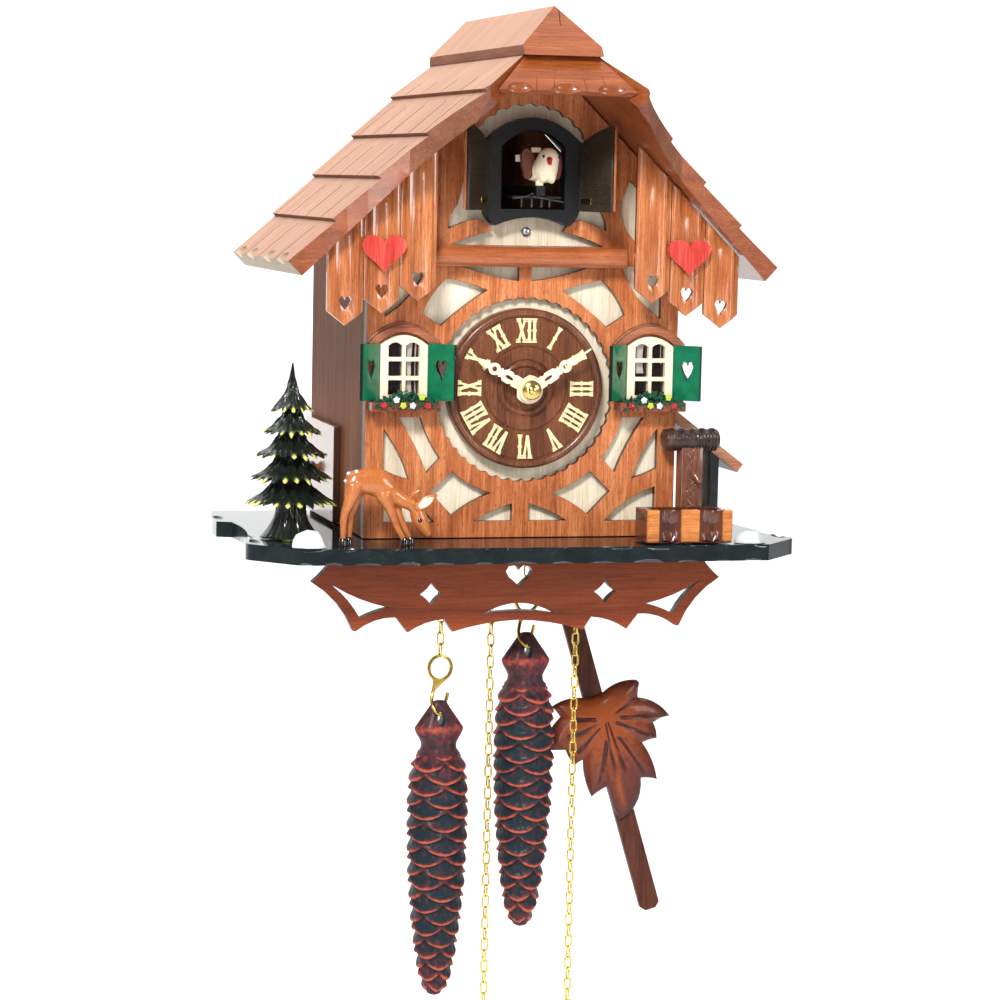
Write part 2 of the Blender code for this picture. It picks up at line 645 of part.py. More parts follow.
def round_hole(x, z, radius, steps=10):
    return [Vector((x + radius * math.cos(a), z + radius * math.sin(a)))
            for a in (2 * math.pi * i / steps for i in range(steps))]


def make_movement():
    bores = [round_hole(x, SPROCKET_Z, 1.9) for x in SPROCKET_X]
    low, high = 38.0, 126.0
    front_panel("movement_front_plate", [plate_loop(low, high), round_hole(DIAL_X, DIAL_Z, 1.9), *bores],
                14.0, 1.5, BRASS)
    escape = round_hole(0.0, 70.0, 1.6)
    back_loops = [plate_loop(low, high), escape, *bores]
    back = as_mesh(front_panel("movement_back_plate", back_loops, 44.0, 1.5, BRASS))
    pillar_profile = [(0, -15.8), (2.2, -15.8), (2.2, -44.7), (0, -44.7)]
    for i, (x, z) in enumerate(((-40, low + 4), (44, low + 4), (-40, high - 4), (44, high - 4))):
        pillar = turned(f"pillar_{i}", pillar_profile, (x, 0, z), BRASS, (90, 0, 0), 12)
        combine(back, pillar, "UNION", "MANIFOLD")

    # Each great wheel turns with its chain sprocket; heights run from the back towards the front.
    for name, x in (("great_wheel_strike", SPROCKET_X[0]), ("great_wheel_going", SPROCKET_X[1])):
        profile = [
            (0.0, 12.0), (1.5, 12.0), (1.5, -1.8), (12.6, -1.8), (12.6, -2.9), (9.4, -4.2), (9.4, -5.8),
            (12.6, -7.1), (12.6, -8.2), (4.0, -8.2), (4.0, -11.0), (17.0, -11.0), (17.0, -12.6), (1.5, -12.6),
            (1.5, -28.0), (0.0, -28.0),
        ]
        shifted = [(r, z - 20.0) for r, z in profile]
        turned(name, shifted, (x, 0, SPROCKET_Z), BRASS, (90, 0, 0), 24)
    escape_profile = [
        (0.0, -40.0), (0.8, -40.0), (0.8, -49.0), (10.5, -49.0), (10.5, -50.4), (0.8, -50.4),
        (0.8, -53.0), (0.0, -53.0),
    ]
    turned("escape_wheel", escape_profile, (0, 0, 70.0), BRASS, (90, 0, 0), 20)

    swing = pivot("pendulum_pivot", (0, PIVOT_Y, PIVOT_Z), (0, -SWING, 0))
    anchor = outline([
        (-7.6, -4.4), (-6.0, -4.4), (-4.6, -0.6), (4.6, -0.6),
        (6.0, -4.4), (7.6, -4.4), (5.4, 2.2), (-5.4, 2.2),
    ])
    front_panel("anchor", [anchor], -11.0, 2.4, STEEL, parent=swing)
    half = ROD_W / 2
    stick = outline([
        (-1.6, 3.0), (-1.6, -8.0), (-half, -12.0), (-half, -ROD_LENGTH + 2.2), (-half + 2.2, -ROD_LENGTH),
        (half - 2.2, -ROD_LENGTH), (half, -ROD_LENGTH + 2.2), (half, -12.0), (1.6, -8.0), (1.6, 3.0),
    ])
    front_panel("pendulum_rod", [stick], -ROD_THICK / 2, ROD_THICK, DARK_WOOD, parent=swing)
    lobes = outline([
        (0, 9), (9, 6), (21.8, 11.4), (17, 0.5), (31.0, -9.0), (19, -11), (22.6, -18.4), (14, -20),
        (17.6, -37.0), (7, -29), (-1.0, -50.6), (-7, -29), (-15.6, -36.0), (-13, -19), (-20.0, -17.0),
        (-17, -10), (-28.4, -8.4), (-16, 0.5), (-21.6, 11.8), (-9, 6),
    ])
    leaf = moved(lobes, 0, -BOB_DROP)
    front_panel("leaf_bob", [list(reversed(leaf))], -ROD_THICK / 2 - 6.4, 6.0, DARK_WOOD, parent=swing)


def make_bellows():
    """A box with a paper bellows in each corner behind the movement, and its lid, hinged at the back."""
    for side, sign in (("left", -1), ("right", 1)):
        near, far = sorted((sign * 46.0, sign * 63.0))
        box(f"bellows_{side}", (near, 66.0, 0.6), (far, 100.0, 96.0), CARD)
        hinge = (near, 100.0, 96.6)
        box(f"bellows_lid_{side}", (near, 66.0, 96.6), (far, 100.0, 99.6), LIGHT_WOOD, origin=hinge)


# ---------------------------------------------------------------- chains and weights

def make_chains():
    # The hook's shank, the cone's flat head with its eye, the neck and the scaled body.
    cone = [
        (0.0, 0.0), (1.2, 0.0), (1.2, -18.0), (3.0, -19.3), (10.6, -30.5), (10.8, -32.0), (7.8, -39.3),
        (11.4, -49.0), (13.2, -62.0), (14.3, -85.0), (14.2, -110.0), (12.6, -130.0), (9.4, -147.0),
        (5.4, -154.6), (0.0, -154.8),
    ]
    for side, x, cone_top in zip(("left", "right"), SPROCKET_X, CONE_TOP_Z):
        hang_x, free_x = x - SPROCKET_R, x + SPROCKET_R
        hook_top = cone_top + HOOK_LENGTH
        weight_run = [(hang_x, CHAIN_Y, SPROCKET_Z), (hang_x, CHAIN_Y, hook_top + GAP)]
        free_run = [(free_x, CHAIN_Y, SPROCKET_Z), (free_x, CHAIN_Y, FREE_END_Z)]
        rod(f"weight_chain_{side}", weight_run, CHAIN_R, BRASS)
        rod(f"free_chain_{side}", free_run, CHAIN_R, BRASS)
        turned(f"cone_{side}", cone, (hang_x, CHAIN_Y, hook_top), IRON, steps=20)


make_case()
make_deck()
make_apron()
make_slats()
make_roof()
make_tree()
make_deer()
make_well()
make_window("left", WINDOW_X[0])
make_window("right", WINDOW_X[1])
make_dial()
make_hands()
make_bird_door()
make_side_doors()
make_movement()
make_bellows()
make_chains()
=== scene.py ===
"""The looks of a half-timbered cuckoo clock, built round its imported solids.

Shapes are drawn in millimetres in the house frame: x to the right, y back from the fretted facade's front,
z up from the top of the base board. at() turns such a point into the row's metres.
"""
import json
import math
import random

import bmesh
import bpy
from mathutils import Matrix, Vector, noise


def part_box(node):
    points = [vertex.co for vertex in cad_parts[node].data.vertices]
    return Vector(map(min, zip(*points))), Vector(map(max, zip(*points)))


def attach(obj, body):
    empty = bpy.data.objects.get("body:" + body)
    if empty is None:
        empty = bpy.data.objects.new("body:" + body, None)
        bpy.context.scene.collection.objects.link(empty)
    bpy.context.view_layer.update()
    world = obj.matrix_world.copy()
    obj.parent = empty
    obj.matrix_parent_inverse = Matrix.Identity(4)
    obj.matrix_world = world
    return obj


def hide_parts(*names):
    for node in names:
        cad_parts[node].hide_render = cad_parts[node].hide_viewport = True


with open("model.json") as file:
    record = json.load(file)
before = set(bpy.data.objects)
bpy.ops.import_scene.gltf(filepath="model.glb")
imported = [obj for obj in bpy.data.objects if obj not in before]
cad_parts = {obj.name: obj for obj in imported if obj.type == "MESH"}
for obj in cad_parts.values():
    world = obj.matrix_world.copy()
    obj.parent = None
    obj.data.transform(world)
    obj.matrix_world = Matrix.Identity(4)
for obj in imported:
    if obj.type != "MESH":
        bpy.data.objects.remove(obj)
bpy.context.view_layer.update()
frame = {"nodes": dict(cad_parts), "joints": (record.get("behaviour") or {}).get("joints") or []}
NODES = frame["nodes"]
JOINTS = {joint["name"]: joint for joint in frame["joints"]}
MM = 0.001
WELD = 0.00002  # metres
FACE_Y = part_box("facade_fretwork")[0].y
DECK_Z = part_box("base_board")[1].z


def at(x, y, z):
    """A point of the house frame, in the row's metres."""
    return Vector((x * MM, FACE_Y + y * MM, DECK_Z + z * MM))


def house(point):
    """A point of the row, in the house frame."""
    return Vector((point[0], point[1] - FACE_Y, point[2] - DECK_Z)) / MM


def low_high(node):
    """A CAD node's lowest and highest corners at rest, in the house frame."""
    low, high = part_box(node)
    return house(low), house(high)


def middle(node):
    low, high = low_high(node)
    return (low + high) / 2


# ---------------------------------------------------------------- camera

CAMERA_AT = (-355.9, -1297.1, 156.8)
CAMERA_AZIMUTH, CAMERA_DOWN, CAMERA_ROLL = 14.959, 5.955, 1.201
CAMERA_LENS = 110.77


def add_camera():
    """The camera worked out from the case's edges in the photograph."""
    azimuth, down, roll = (math.radians(a) for a in (CAMERA_AZIMUTH, CAMERA_DOWN, CAMERA_ROLL))
    ahead = Vector((math.sin(azimuth) * math.cos(down), math.cos(azimuth) * math.cos(down), -math.sin(down)))
    level = Vector((math.cos(azimuth), -math.sin(azimuth), 0))
    up = level.cross(ahead)
    right = level * math.cos(roll) + up * math.sin(roll)
    up = up * math.cos(roll) - level * math.sin(roll)
    data = bpy.data.cameras.new("camera")
    data.lens = CAMERA_LENS
    data.sensor_width = 36.0
    data.clip_end = 20.0
    camera = bpy.data.objects.new("camera", data)
    placed = Matrix((right, up, -ahead)).transposed().to_4x4()
    placed.translation = at(*CAMERA_AT)
    camera.matrix_world = placed
    bpy.context.scene.collection.objects.link(camera)
    bpy.context.scene.camera = camera


add_camera()


# ---------------------------------------------------------------- materials

class Finish:
    """One material: its shader's constants, and the nodes that vary its colour, roughness and surface."""

    def __init__(self, name, roughness=0.4, metallic=0.0, coat=0.0, coat_roughness=0.08, colour=(0.8, 0.8, 0.8)):
        self.material = bpy.data.materials.new(name)
        self.material.use_nodes = True
        self.tree = self.material.node_tree
        self.shader = self.tree.nodes["Principled BSDF"]
        self.set("Base Color", (*colour, 1.0))
        self.set("Roughness", roughness)
        self.set("Metallic", metallic)
        self.set("Coat Weight", coat)
        self.set("Coat Roughness", coat_roughness)
        self.material.diffuse_color = (*colour, 1.0)

    def set(self, socket, value):
        if isinstance(value, bpy.types.NodeSocket):
            self.tree.links.new(value, self.shader.inputs[socket])
        else:
            self.shader.inputs[socket].default_value = value

    def node(self, kind, inputs, output=0, **settings):
        made = self.tree.nodes.new(kind)
        for key, value in settings.items():
            setattr(made, key, value)
        for key, value in inputs.items():
            if isinstance(value, bpy.types.NodeSocket):
                self.tree.links.new(value, made.inputs[key])
            else:
                made.inputs[key].default_value = value
        return made.outputs[output]

    def place(self, scale=(1, 1, 1)):
        """The piece's own coordinates in metres, scaled axis by axis."""
        where = self.node("ShaderNodeTexCoord", {}, "Object")
        return self.node("ShaderNodeMapping", {"Vector": where, "Scale": scale})

    def noise(self, where, scale, detail=3.0, roughness=0.5, distortion=0.0):
        inputs = {"Vector": where, "Scale": scale, "Detail": detail, "Roughness": roughness,
                  "Distortion": distortion}
        return self.node("ShaderNodeTexNoise", inputs)

    def math(self, operation, a, b=0.0):
        return self.node("ShaderNodeMath", {0: a, 1: b}, operation=operation)

    def ramp(self, value, stops):
        """Colours along a value; each stop is a position and a colour or a grey."""
        made = self.tree.nodes.new("ShaderNodeValToRGB")
        marks = made.color_ramp.elements
        while len(marks) < len(stops):
            marks.new(0.5)
        for mark, (position, colour) in zip(marks, stops):
            mark.position = position
            mark.color = (*colour, 1.0) if isinstance(colour, tuple) else (colour, colour, colour, 1.0)
        self.tree.links.new(value, made.inputs["Fac"])
        return made.outputs["Color"]

    def mix(self, amount, a, b):
        """Colour b over colour a by an amount."""
        made = self.tree.nodes.new("ShaderNodeMix")
        made.data_type = "RGBA"
        for index, value in ((0, amount), (6, a), (7, b)):
            if isinstance(value, bpy.types.NodeSocket):
                self.tree.links.new(value, made.inputs[index])
            elif index == 0:
                made.inputs[index].default_value = value
            else:
                made.inputs[index].default_value = (*value, 1.0)
        return made.outputs[2]

    def bump(self, height, distance_mm):
        inputs = {"Height": height, "Distance": distance_mm * MM, "Strength": 1.0}
        self.set("Normal", self.node("ShaderNodeBump", inputs))

    def painted(self, name):
        """A value stored on the mesh's points."""
        return self.node("ShaderNodeAttribute", {}, "Fac", attribute_name=name)

    def facing(self, axis):
        """1 where the surface faces along that axis, either way, and 0 on its edges."""
        normal = self.node("ShaderNodeTexCoord", {}, "Normal")
        part = self.node("ShaderNodeSeparateXYZ", {"Vector": normal}, "XYZ".index(axis))
        return self.math("ABSOLUTE", part)


GRAIN = {"x": (0.05, 1, 1), "y": (1, 0.05, 1), "z": (1, 1, 0.05), "slope": (0.06, 1, 0.06)}


def wood(name, dark, mid, light, along="z", roughness=0.38, coat=0.25, pores=0.45, edge=None,
         edge_at=(0.35, 0.75), bump=0.05, shine=0.4):
    """Lacquered wood: fine streaks and broader bands along the grain, with short dark pores."""
    made = Finish(name, roughness, coat=coat, coat_roughness=0.12, colour=mid)
    made.set("Specular IOR Level", shine)
    where = made.place(GRAIN[along])
    streaks = made.noise(where, 1500, 4, 0.6)
    bands = made.noise(where, 170, 3, 0.5, 0.3)
    clouds = made.noise(made.place(), 28, 2)
    grain = made.math("ADD", made.math("MULTIPLY", streaks, 0.45), made.math("MULTIPLY", bands, 0.38))
    grain = made.math("ADD", grain, made.math("MULTIPLY", clouds, 0.17))
    colour = made.ramp(grain, [(0.36, dark), (0.5, mid), (0.64, light)])
    short = made.noise(made.place(tuple(min(1.0, s * 2.2) for s in GRAIN[along])), 3400, 1)
    pore = made.ramp(short, [(0.60, 0.0), (0.69, 1.0)])
    amount = made.math("MULTIPLY", pore, pores)
    colour = made.mix(amount, colour, tuple(c * 0.35 for c in dark))
    if edge is not None:
        face = made.ramp(made.facing(edge), [(edge_at[0], 0.0), (edge_at[1], 1.0)])
        colour = made.mix(face, tuple(c * 0.22 for c in dark), colour)
    made.set("Base Color", colour)
    made.set("Roughness", made.math("ADD", made.math("MULTIPLY", streaks, 0.16), roughness - 0.08))
    made.bump(made.math("SUBTRACT", streaks, amount), bump)
    return made.material


def gloss(name, colour, shade, roughness=0.25, coat=0.6, scale=220.0, bump=0.03, metallic=0.0):
    """Paint or moulded plastic: a soft change of tone and a slightly uneven surface."""
    made = Finish(name, roughness, metallic, coat, 0.06, colour)
    made.set("Specular IOR Level", 0.3 if metallic == 0.0 else 0.5)
    uneven = made.noise(made.place(), scale, 4, 0.6)
    made.set("Base Color", made.ramp(uneven, [(0.3, shade), (0.7, colour)]))
    made.set("Roughness", made.math("ADD", made.math("MULTIPLY", uneven, 0.12), roughness - 0.06))
    made.bump(uneven, bump)
    return made.material


def edged(name, low, middle_tone, high, roughness, coat, scale, bump):
    """A finish that goes from one colour to another by a value on the mesh's points."""
    made = Finish(name, roughness, coat=coat, coat_roughness=0.15, colour=low)
    made.set("Specular IOR Level", 0.15)
    uneven = made.noise(made.place(), scale, 5, 0.65)
    value = made.math("ADD", made.painted("tint"), made.math("MULTIPLY", made.math("SUBTRACT", uneven, 0.5), 0.7))
    made.set("Base Color", made.ramp(value, [(0.15, low), (0.45, middle_tone), (0.8, high)]))
    made.set("Roughness", made.math("ADD", made.math("MULTIPLY", uneven, 0.3), roughness - 0.15))
    made.bump(uneven, bump)
    return made.material


FACADE = wood("facade_veneer", (0.25, 0.055, 0.014), (0.52, 0.15, 0.045), (0.74, 0.30, 0.12), edge="Y",
              edge_at=(0.72, 0.96), coat=0.1, pores=0.6)
WALLS = wood("wall_veneer", (0.115, 0.032, 0.010), (0.20, 0.062, 0.020), (0.29, 0.105, 0.040), edge="X", pores=0.35,
             coat=0.0, roughness=0.6, shine=0.15)
SLATS = wood("slat_wood", (0.22, 0.05, 0.014), (0.46, 0.13, 0.035), (0.66, 0.24, 0.08), roughness=0.2, coat=1.0,
             edge="Y", edge_at=(0.15, 0.4), shine=0.6)
APRON = wood("apron_wood", (0.14, 0.022, 0.004), (0.24, 0.040, 0.007), (0.34, 0.066, 0.013), along="x", edge="Y",
             coat=0.15)
RAIL = wood("rail_wood", (0.20, 0.045, 0.014), (0.36, 0.09, 0.028), (0.50, 0.15, 0.05), along="x", roughness=0.3,
            coat=0.6)
SHINGLE = wood("shingle_wood", (0.36, 0.185, 0.115), (0.43, 0.235, 0.155), (0.50, 0.29, 0.195), along="slope",
               pores=0.1, roughness=0.6, coat=0.0, shine=0.2)
BARGE = wood("barge_wood", (0.15, 0.030, 0.006), (0.26, 0.058, 0.012), (0.38, 0.105, 0.025), along="x", roughness=0.3,
             coat=0.5)
# A darker copy of the barge wood, for the cut-back lower face below the lit barge: painted shade.
BARGE_PAINTED_SHADE = wood("barge_shaded", (0.10, 0.018, 0.006), (0.17, 0.035, 0.012), (0.24, 0.06, 0.02), along="x",
                  roughness=0.3, coat=0.4)
MAPLE = wood("maple", (0.64, 0.50, 0.34), (0.81, 0.70, 0.53), (0.91, 0.82, 0.68), pores=0.1, roughness=0.5, coat=0.0,
             edge="Y", shine=0.2)
GROOVE = wood("shingle_groove", (0.16, 0.055, 0.03), (0.22, 0.085, 0.05), (0.30, 0.13, 0.08), along="y", pores=0.1,
              roughness=0.7, coat=0.0, shine=0.1)
EAVE_END = wood("eave_end", (0.36, 0.28, 0.20), (0.46, 0.36, 0.26), (0.53, 0.42, 0.31), along="y", pores=0.05,
                roughness=0.6, coat=0.0)
WALNUT = wood("dial_walnut", (0.065, 0.018, 0.007), (0.15, 0.046, 0.018), (0.26, 0.090, 0.036), pores=0.7,
              roughness=0.32, coat=0.3)
DARK = wood("dark_stained", (0.04, 0.011, 0.006), (0.09, 0.024, 0.012), (0.17, 0.045, 0.02), roughness=0.22, coat=0.8)
AMBER = wood("polished_block", (0.30, 0.075, 0.018), (0.58, 0.19, 0.045), (0.80, 0.32, 0.09), along="x",
             roughness=0.2, coat=0.9)
STICK = wood("stick_wood", (0.04, 0.011, 0.007), (0.085, 0.024, 0.013), (0.14, 0.043, 0.024), roughness=0.45, coat=0.0,
             shine=0.2)
DECK = gloss("deck_gloss", (0.012, 0.022, 0.022), (0.006, 0.012, 0.012), 0.09, 0.0, 60.0, 0.02)
CARVED_DECK = gloss("deck_carved", (0.012, 0.020, 0.022), (0.005, 0.009, 0.010), 0.20, 0.5, 160.0, 0.12)
GREEN = gloss("shutter_green", (0.004, 0.19, 0.085), (0.002, 0.12, 0.05), 0.25, 0.8)
SHUTTER_EDGE = gloss("shutter_edge", (0.012, 0.016, 0.014), (0.005, 0.007, 0.006), 0.25, 0.8)
RED = wood("heart_red", (0.42, 0.03, 0.02), (0.62, 0.05, 0.035), (0.78, 0.13, 0.09), roughness=0.3, coat=0.7, pores=0.1)
CREAM = gloss("cream_plastic_gloss", (0.92, 0.80, 0.60), (0.86, 0.72, 0.50), 0.35, 0.2)
NUMERAL = gloss("numeral_cream", (0.92, 0.80, 0.46), (0.82, 0.68, 0.34), 0.35, 0.2)
BLACK = gloss("black_grained", (0.009, 0.009, 0.011), (0.003, 0.003, 0.004), 0.42, 0.1, 1500.0, 0.25)
BRASS = gloss("brass_bright", (0.86, 0.62, 0.22), (0.74, 0.50, 0.15), 0.22, 0.0, 300.0, 0.02, 1.0)
STEEL = gloss("steel_plain", (0.62, 0.61, 0.59), (0.48, 0.48, 0.47), 0.3, 0.0, 300.0, 0.02, 1.0)
# Dark teal paint going to red-copper; the red end also carries the painted highlights on the scale lips and the head's
# ridge.
CONE = edged("cone_paint_and_painted_highlight", (0.010, 0.022, 0.030), (0.12, 0.026, 0.030), (0.50, 0.10, 0.055), 0.44, 0.04, 1600, 0.35)
FIR = edged("fir_plastic", (0.012, 0.016, 0.012), (0.035, 0.045, 0.020), (0.80, 0.78, 0.16), 0.22, 0.9, 900, 0.22)
LEAF = edged("leaf_carved", (0.29, 0.062, 0.015), (0.13, 0.030, 0.018), (0.050, 0.013, 0.010), 0.30, 0.25, 420, 0.10)
FAWN = gloss("fawn_gloss", (0.58, 0.19, 0.045), (0.42, 0.11, 0.025), 0.28, 0.8, 160.0, 0.12)
WHITE = gloss("white_stone", (0.74, 0.78, 0.80), (0.58, 0.63, 0.66), 0.30, 0.3, 120.0, 0.15)
HOOF = gloss("black_gloss", (0.010, 0.010, 0.012), (0.004, 0.004, 0.005), 0.15, 1.0)
FOLIAGE = gloss("foliage", (0.010, 0.10, 0.045), (0.004, 0.035, 0.018), 0.45, 0.2, 900.0, 0.1)
PETALS = {
    "white": gloss("petal_white", (0.72, 0.80, 0.84), (0.55, 0.64, 0.70), 0.4, 0.2),
    "yellow": gloss("petal_yellow", (0.58, 0.72, 0.08), (0.40, 0.54, 0.04), 0.4, 0.2),
    "red": gloss("petal_red", (0.52, 0.02, 0.02), (0.34, 0.01, 0.012), 0.35, 0.3),
}
GLASS = gloss("dark_pane", (0.012, 0.005, 0.006), (0.006, 0.002, 0.003), 0.12, 0.8)
CURTAIN = gloss("curtain_print", (0.46, 0.40, 0.37), (0.34, 0.30, 0.28), 0.6, 0.0)
LINTEL = wood("lintel_wood", (0.20, 0.05, 0.02), (0.36, 0.12, 0.055), (0.52, 0.20, 0.10), along="x", edge="Y",
              edge_at=(0.7, 0.95), roughness=0.35, coat=0.3)
LEDGE = wood("ledge_wood", (0.12, 0.022, 0.010), (0.22, 0.045, 0.02), (0.30, 0.07, 0.03), along="x", roughness=0.35,
             coat=0.3)
PAPER = gloss("bellows_paper_folds", (0.72, 0.69, 0.60), (0.60, 0.57, 0.48), 0.8, 0.0, 400.0, 0.1)
BACK_WOOD = wood("back_board_wood", (0.22, 0.07, 0.03), (0.34, 0.115, 0.05), (0.46, 0.17, 0.075), edge="Y", pores=0.3,
                 roughness=0.55, coat=0.05)
SIDE_DOOR = wood("side_door_wood", (0.20, 0.07, 0.035), (0.32, 0.12, 0.06), (0.42, 0.18, 0.095), edge="X",
                 roughness=0.25, coat=0.9, pores=0.2)
DARK_PLASTIC = gloss("louvre_plastic", (0.050, 0.035, 0.022), (0.024, 0.016, 0.010), 0.4, 0.2, 600.0, 0.1)
BLACK_STEEL = gloss("blackened_steel", (0.10, 0.10, 0.11), (0.05, 0.05, 0.055), 0.3, 0.2, 300.0, 0.05, 0.6)
WING = gloss("wing_brown", (0.14, 0.035, 0.02), (0.09, 0.02, 0.012), 0.35, 0.4)
POST = wood("post_wood", (0.09, 0.03, 0.018), (0.19, 0.065, 0.036), (0.30, 0.115, 0.065), roughness=0.3, coat=0.6)
LOG = wood("log_bark", (0.012, 0.008, 0.007), (0.035, 0.018, 0.012), (0.13, 0.050, 0.028), along="z", roughness=0.4,
           coat=0.3, bump=0.2)
PLANK = wood("plank_wood", (0.30, 0.11, 0.055), (0.46, 0.20, 0.11), (0.58, 0.30, 0.18), along="x", roughness=0.45,
             edge="Y")
SHED = gloss("shed_grey", (0.035, 0.037, 0.042), (0.016, 0.017, 0.02), 0.5, 0.3, 200.0, 0.1)
CHAIN = gloss("chain_brass", (0.93, 0.70, 0.16), (0.80, 0.56, 0.09), 0.24, 0.0, 300.0, 0.02, 1.0)
HOOK = gloss("hook_brass", (0.60, 0.40, 0.10), (0.44, 0.27, 0.05), 0.26, 0.0, 300.0, 0.03, 1.0)


# ---------------------------------------------------------------- shapes

def mesh_of(verts, faces, smooth=False):
    """A mesh from points in the house frame."""
    mesh = bpy.data.meshes.new("shape")
    mesh.from_pydata([at(*v) for v in verts], [], faces)
    shape = bmesh.new()
    shape.from_mesh(mesh)
    bmesh.ops.recalc_face_normals(shape, faces=shape.faces)
    shape.to_mesh(mesh)
    shape.free()
    if smooth:
        mesh.shade_smooth()
    return mesh


def settle(obj):
    """The object's mesh with its modifiers applied, and the object removed."""
    bpy.context.view_layer.update()
    graph = bpy.context.evaluated_depsgraph_get()
    mesh = bpy.data.meshes.new_from_object(obj.evaluated_get(graph))
    mesh.transform(obj.matrix_world)
    bpy.data.objects.remove(obj, do_unlink=True)
    return mesh


def loose(data):
    """A scratch object, for modifiers to work on."""
    obj = bpy.data.objects.new("scratch", data)
    bpy.context.scene.collection.objects.link(obj)
    return obj


def weld(mesh):
    """Joins points that coincide."""
    shape = bmesh.new()
    shape.from_mesh(mesh)
    bmesh.ops.remove_doubles(shape, verts=shape.verts, dist=WELD)
    bmesh.ops.recalc_face_normals(shape, faces=shape.faces)
    shape.to_mesh(mesh)
    shape.free()
    return mesh


def join(meshes):
    """One mesh of several, each kept as its own shell."""
    shape = bmesh.new()
    for mesh in meshes:
        shape.from_mesh(mesh)
    made = bpy.data.meshes.new("joined")
    shape.to_mesh(made)
    shape.free()
    return made


def bevelled(mesh, width, segments=2, angle=30.0):
    """Rounds the edges that turn by more than the angle; the width is in millimetres."""
    obj = loose(mesh)
    bevel = obj.modifiers.new("edges", "BEVEL")
    bevel.width = width * MM
    bevel.segments = segments
    bevel.limit_method = "ANGLE"
    bevel.angle_limit = math.radians(angle)
    bevel.use_clamp_overlap = True
    return settle(obj)


MARKS = 5  # material numbers that a cutter's faces may carry


def cut(mesh, *cutters):
    """Cuts with closed shapes; the new faces keep the cutter's material number."""
    other = join(cutters)
    for each in (mesh, other):
        for _ in range(MARKS - len(each.materials)):
            each.materials.append(None)
    obj, other = loose(mesh), loose(other)
    boolean = obj.modifiers.new("cut", "BOOLEAN")
    boolean.object = other
    boolean.operation = "DIFFERENCE"
    boolean.solver = "EXACT"
    boolean.use_self = True
    boolean.material_mode = "INDEX"
    made = settle(obj)
    bpy.data.objects.remove(other, do_unlink=True)
    return made


def marked(mesh, number):
    """Gives every face of a mesh one material number."""
    for face in mesh.polygons:
        face.material_index = number
    return mesh


def smooth_by_angle(mesh, angle=35.0):
    mesh.shade_smooth()
    mesh.set_sharp_from_angle(angle=math.radians(angle))
    return mesh


def piece(name, mesh, finish, body, replaces=()):
    """Puts a finished mesh in the scene, riding on its body; a list of finishes keeps the faces' numbers."""
    numbers = [face.material_index for face in mesh.polygons]
    mesh.materials.clear()
    for each in finish if isinstance(finish, list) else [finish]:
        mesh.materials.append(each)
    if isinstance(finish, list):
        mesh.polygons.foreach_set("material_index", [min(n, len(finish) - 1) for n in numbers])
    obj = bpy.data.objects.new(name, mesh)
    bpy.context.scene.collection.objects.link(obj)
    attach(obj, body)
    if replaces:
        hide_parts(*replaces)
    return obj


def outline(rows, steps=6):
    """Points along a closed outline. A third value in a row bows the edge after it, to the left if positive."""
    points = []
    for row, after in zip(rows, rows[1:] + rows[:1]):
        p, q = Vector(row[:2]), Vector(after[:2])
        points.append(p)
        rise = row[2] if len(row) > 2 else 0.0
        if rise:
            side = Vector((p.y - q.y, q.x - p.x)).normalized()
            for i in range(1, steps):
                t = i / steps
                points.append(p.lerp(q, t) + side * rise * 4 * t * (1 - t))
    return points


def circle(x, z, radius, steps=24):
    return [(x + radius * math.cos(a), z + radius * math.sin(a)) for a in (math.tau * i / steps for i in range(steps))]


def board(loops, front, thick, turn=None):
    """A flat board that faces the front, drawn in x and z; loops inside the first are holes."""
    curve = bpy.data.curves.new("board", "CURVE")
    curve.dimensions = "2D"
    curve.fill_mode = "BOTH"
    curve.extrude = thick / 2
    for loop in loops:
        spline = curve.splines.new("POLY")
        spline.points.add(len(loop) - 1)
        for point, p in zip(spline.points, loop):
            point.co = (p[0], p[1], 0.0, 1.0)
        spline.use_cyclic_u = True
    mesh = settle(loose(curve))
    stand = Matrix.Rotation(math.radians(90), 4, "X")
    stand.translation = Vector((0, front + thick / 2, 0))
    mesh.transform((turn or Matrix.Identity(4)) @ stand)
    for vertex in mesh.vertices:
        vertex.co = at(*vertex.co)
    return weld(mesh)


def block(low, high):
    """A four-sided block between two corners, to be rounded or cut further."""
    xs, ys, zs = zip(low, high)
    verts = [(x, y, z) for x in xs for y in ys for z in zs]
    faces = [(0, 1, 3, 2), (4, 6, 7, 5), (0, 4, 5, 1), (2, 3, 7, 6), (0, 2, 6, 4), (1, 5, 7, 3)]
    return mesh_of(verts, faces)


def beam(start, end, across, out):
    """A straight four-sided bar between two points, from its half-width and half-height vectors."""
    verts = [Vector(p) + across * a + out * b for p in (start, end) for a, b in ((-1, -1), (1, -1), (1, 1), (-1, 1))]
    faces = [(3, 2, 1, 0), (4, 5, 6, 7), (0, 1, 5, 4), (1, 2, 6, 5), (2, 3, 7, 6), (3, 0, 4, 7)]
    return mesh_of(verts, faces)


def grid(rings, closed_ends=True):
    """Verts and faces of a tube of rings, each with the same number of points."""
    count = len(rings[0])
    verts = [p for ring in rings for p in ring]
    faces = []
    for i in range(len(rings) - 1):
        for j in range(count):
            k = (j + 1) % count
            faces.append((i * count + j, i * count + k, (i + 1) * count + k, (i + 1) * count + j))
    if closed_ends:
        faces += [tuple(range(count)), tuple(range((len(rings) - 1) * count, len(rings) * count))]
    return verts, faces


def turned(profile, centre, axis="z", steps=48):
    """A turned shape from its (radius, height) profile. Heights run along the axis; -y faces the front."""
    rings = []
    for r, h in profile:
        ring = []
        for i in range(steps):
            a = math.tau * i / steps
            u, v = max(r, 0.001) * math.cos(a), max(r, 0.001) * math.sin(a)
            ring.append({"z": (u, v, h), "-y": (u, -h, v), "x": (h, u, v)}[axis])
        rings.append([Vector(p) + Vector(centre) for p in ring])
    mesh = mesh_of(*grid(rings))
    return smooth_by_angle(mesh, 32)


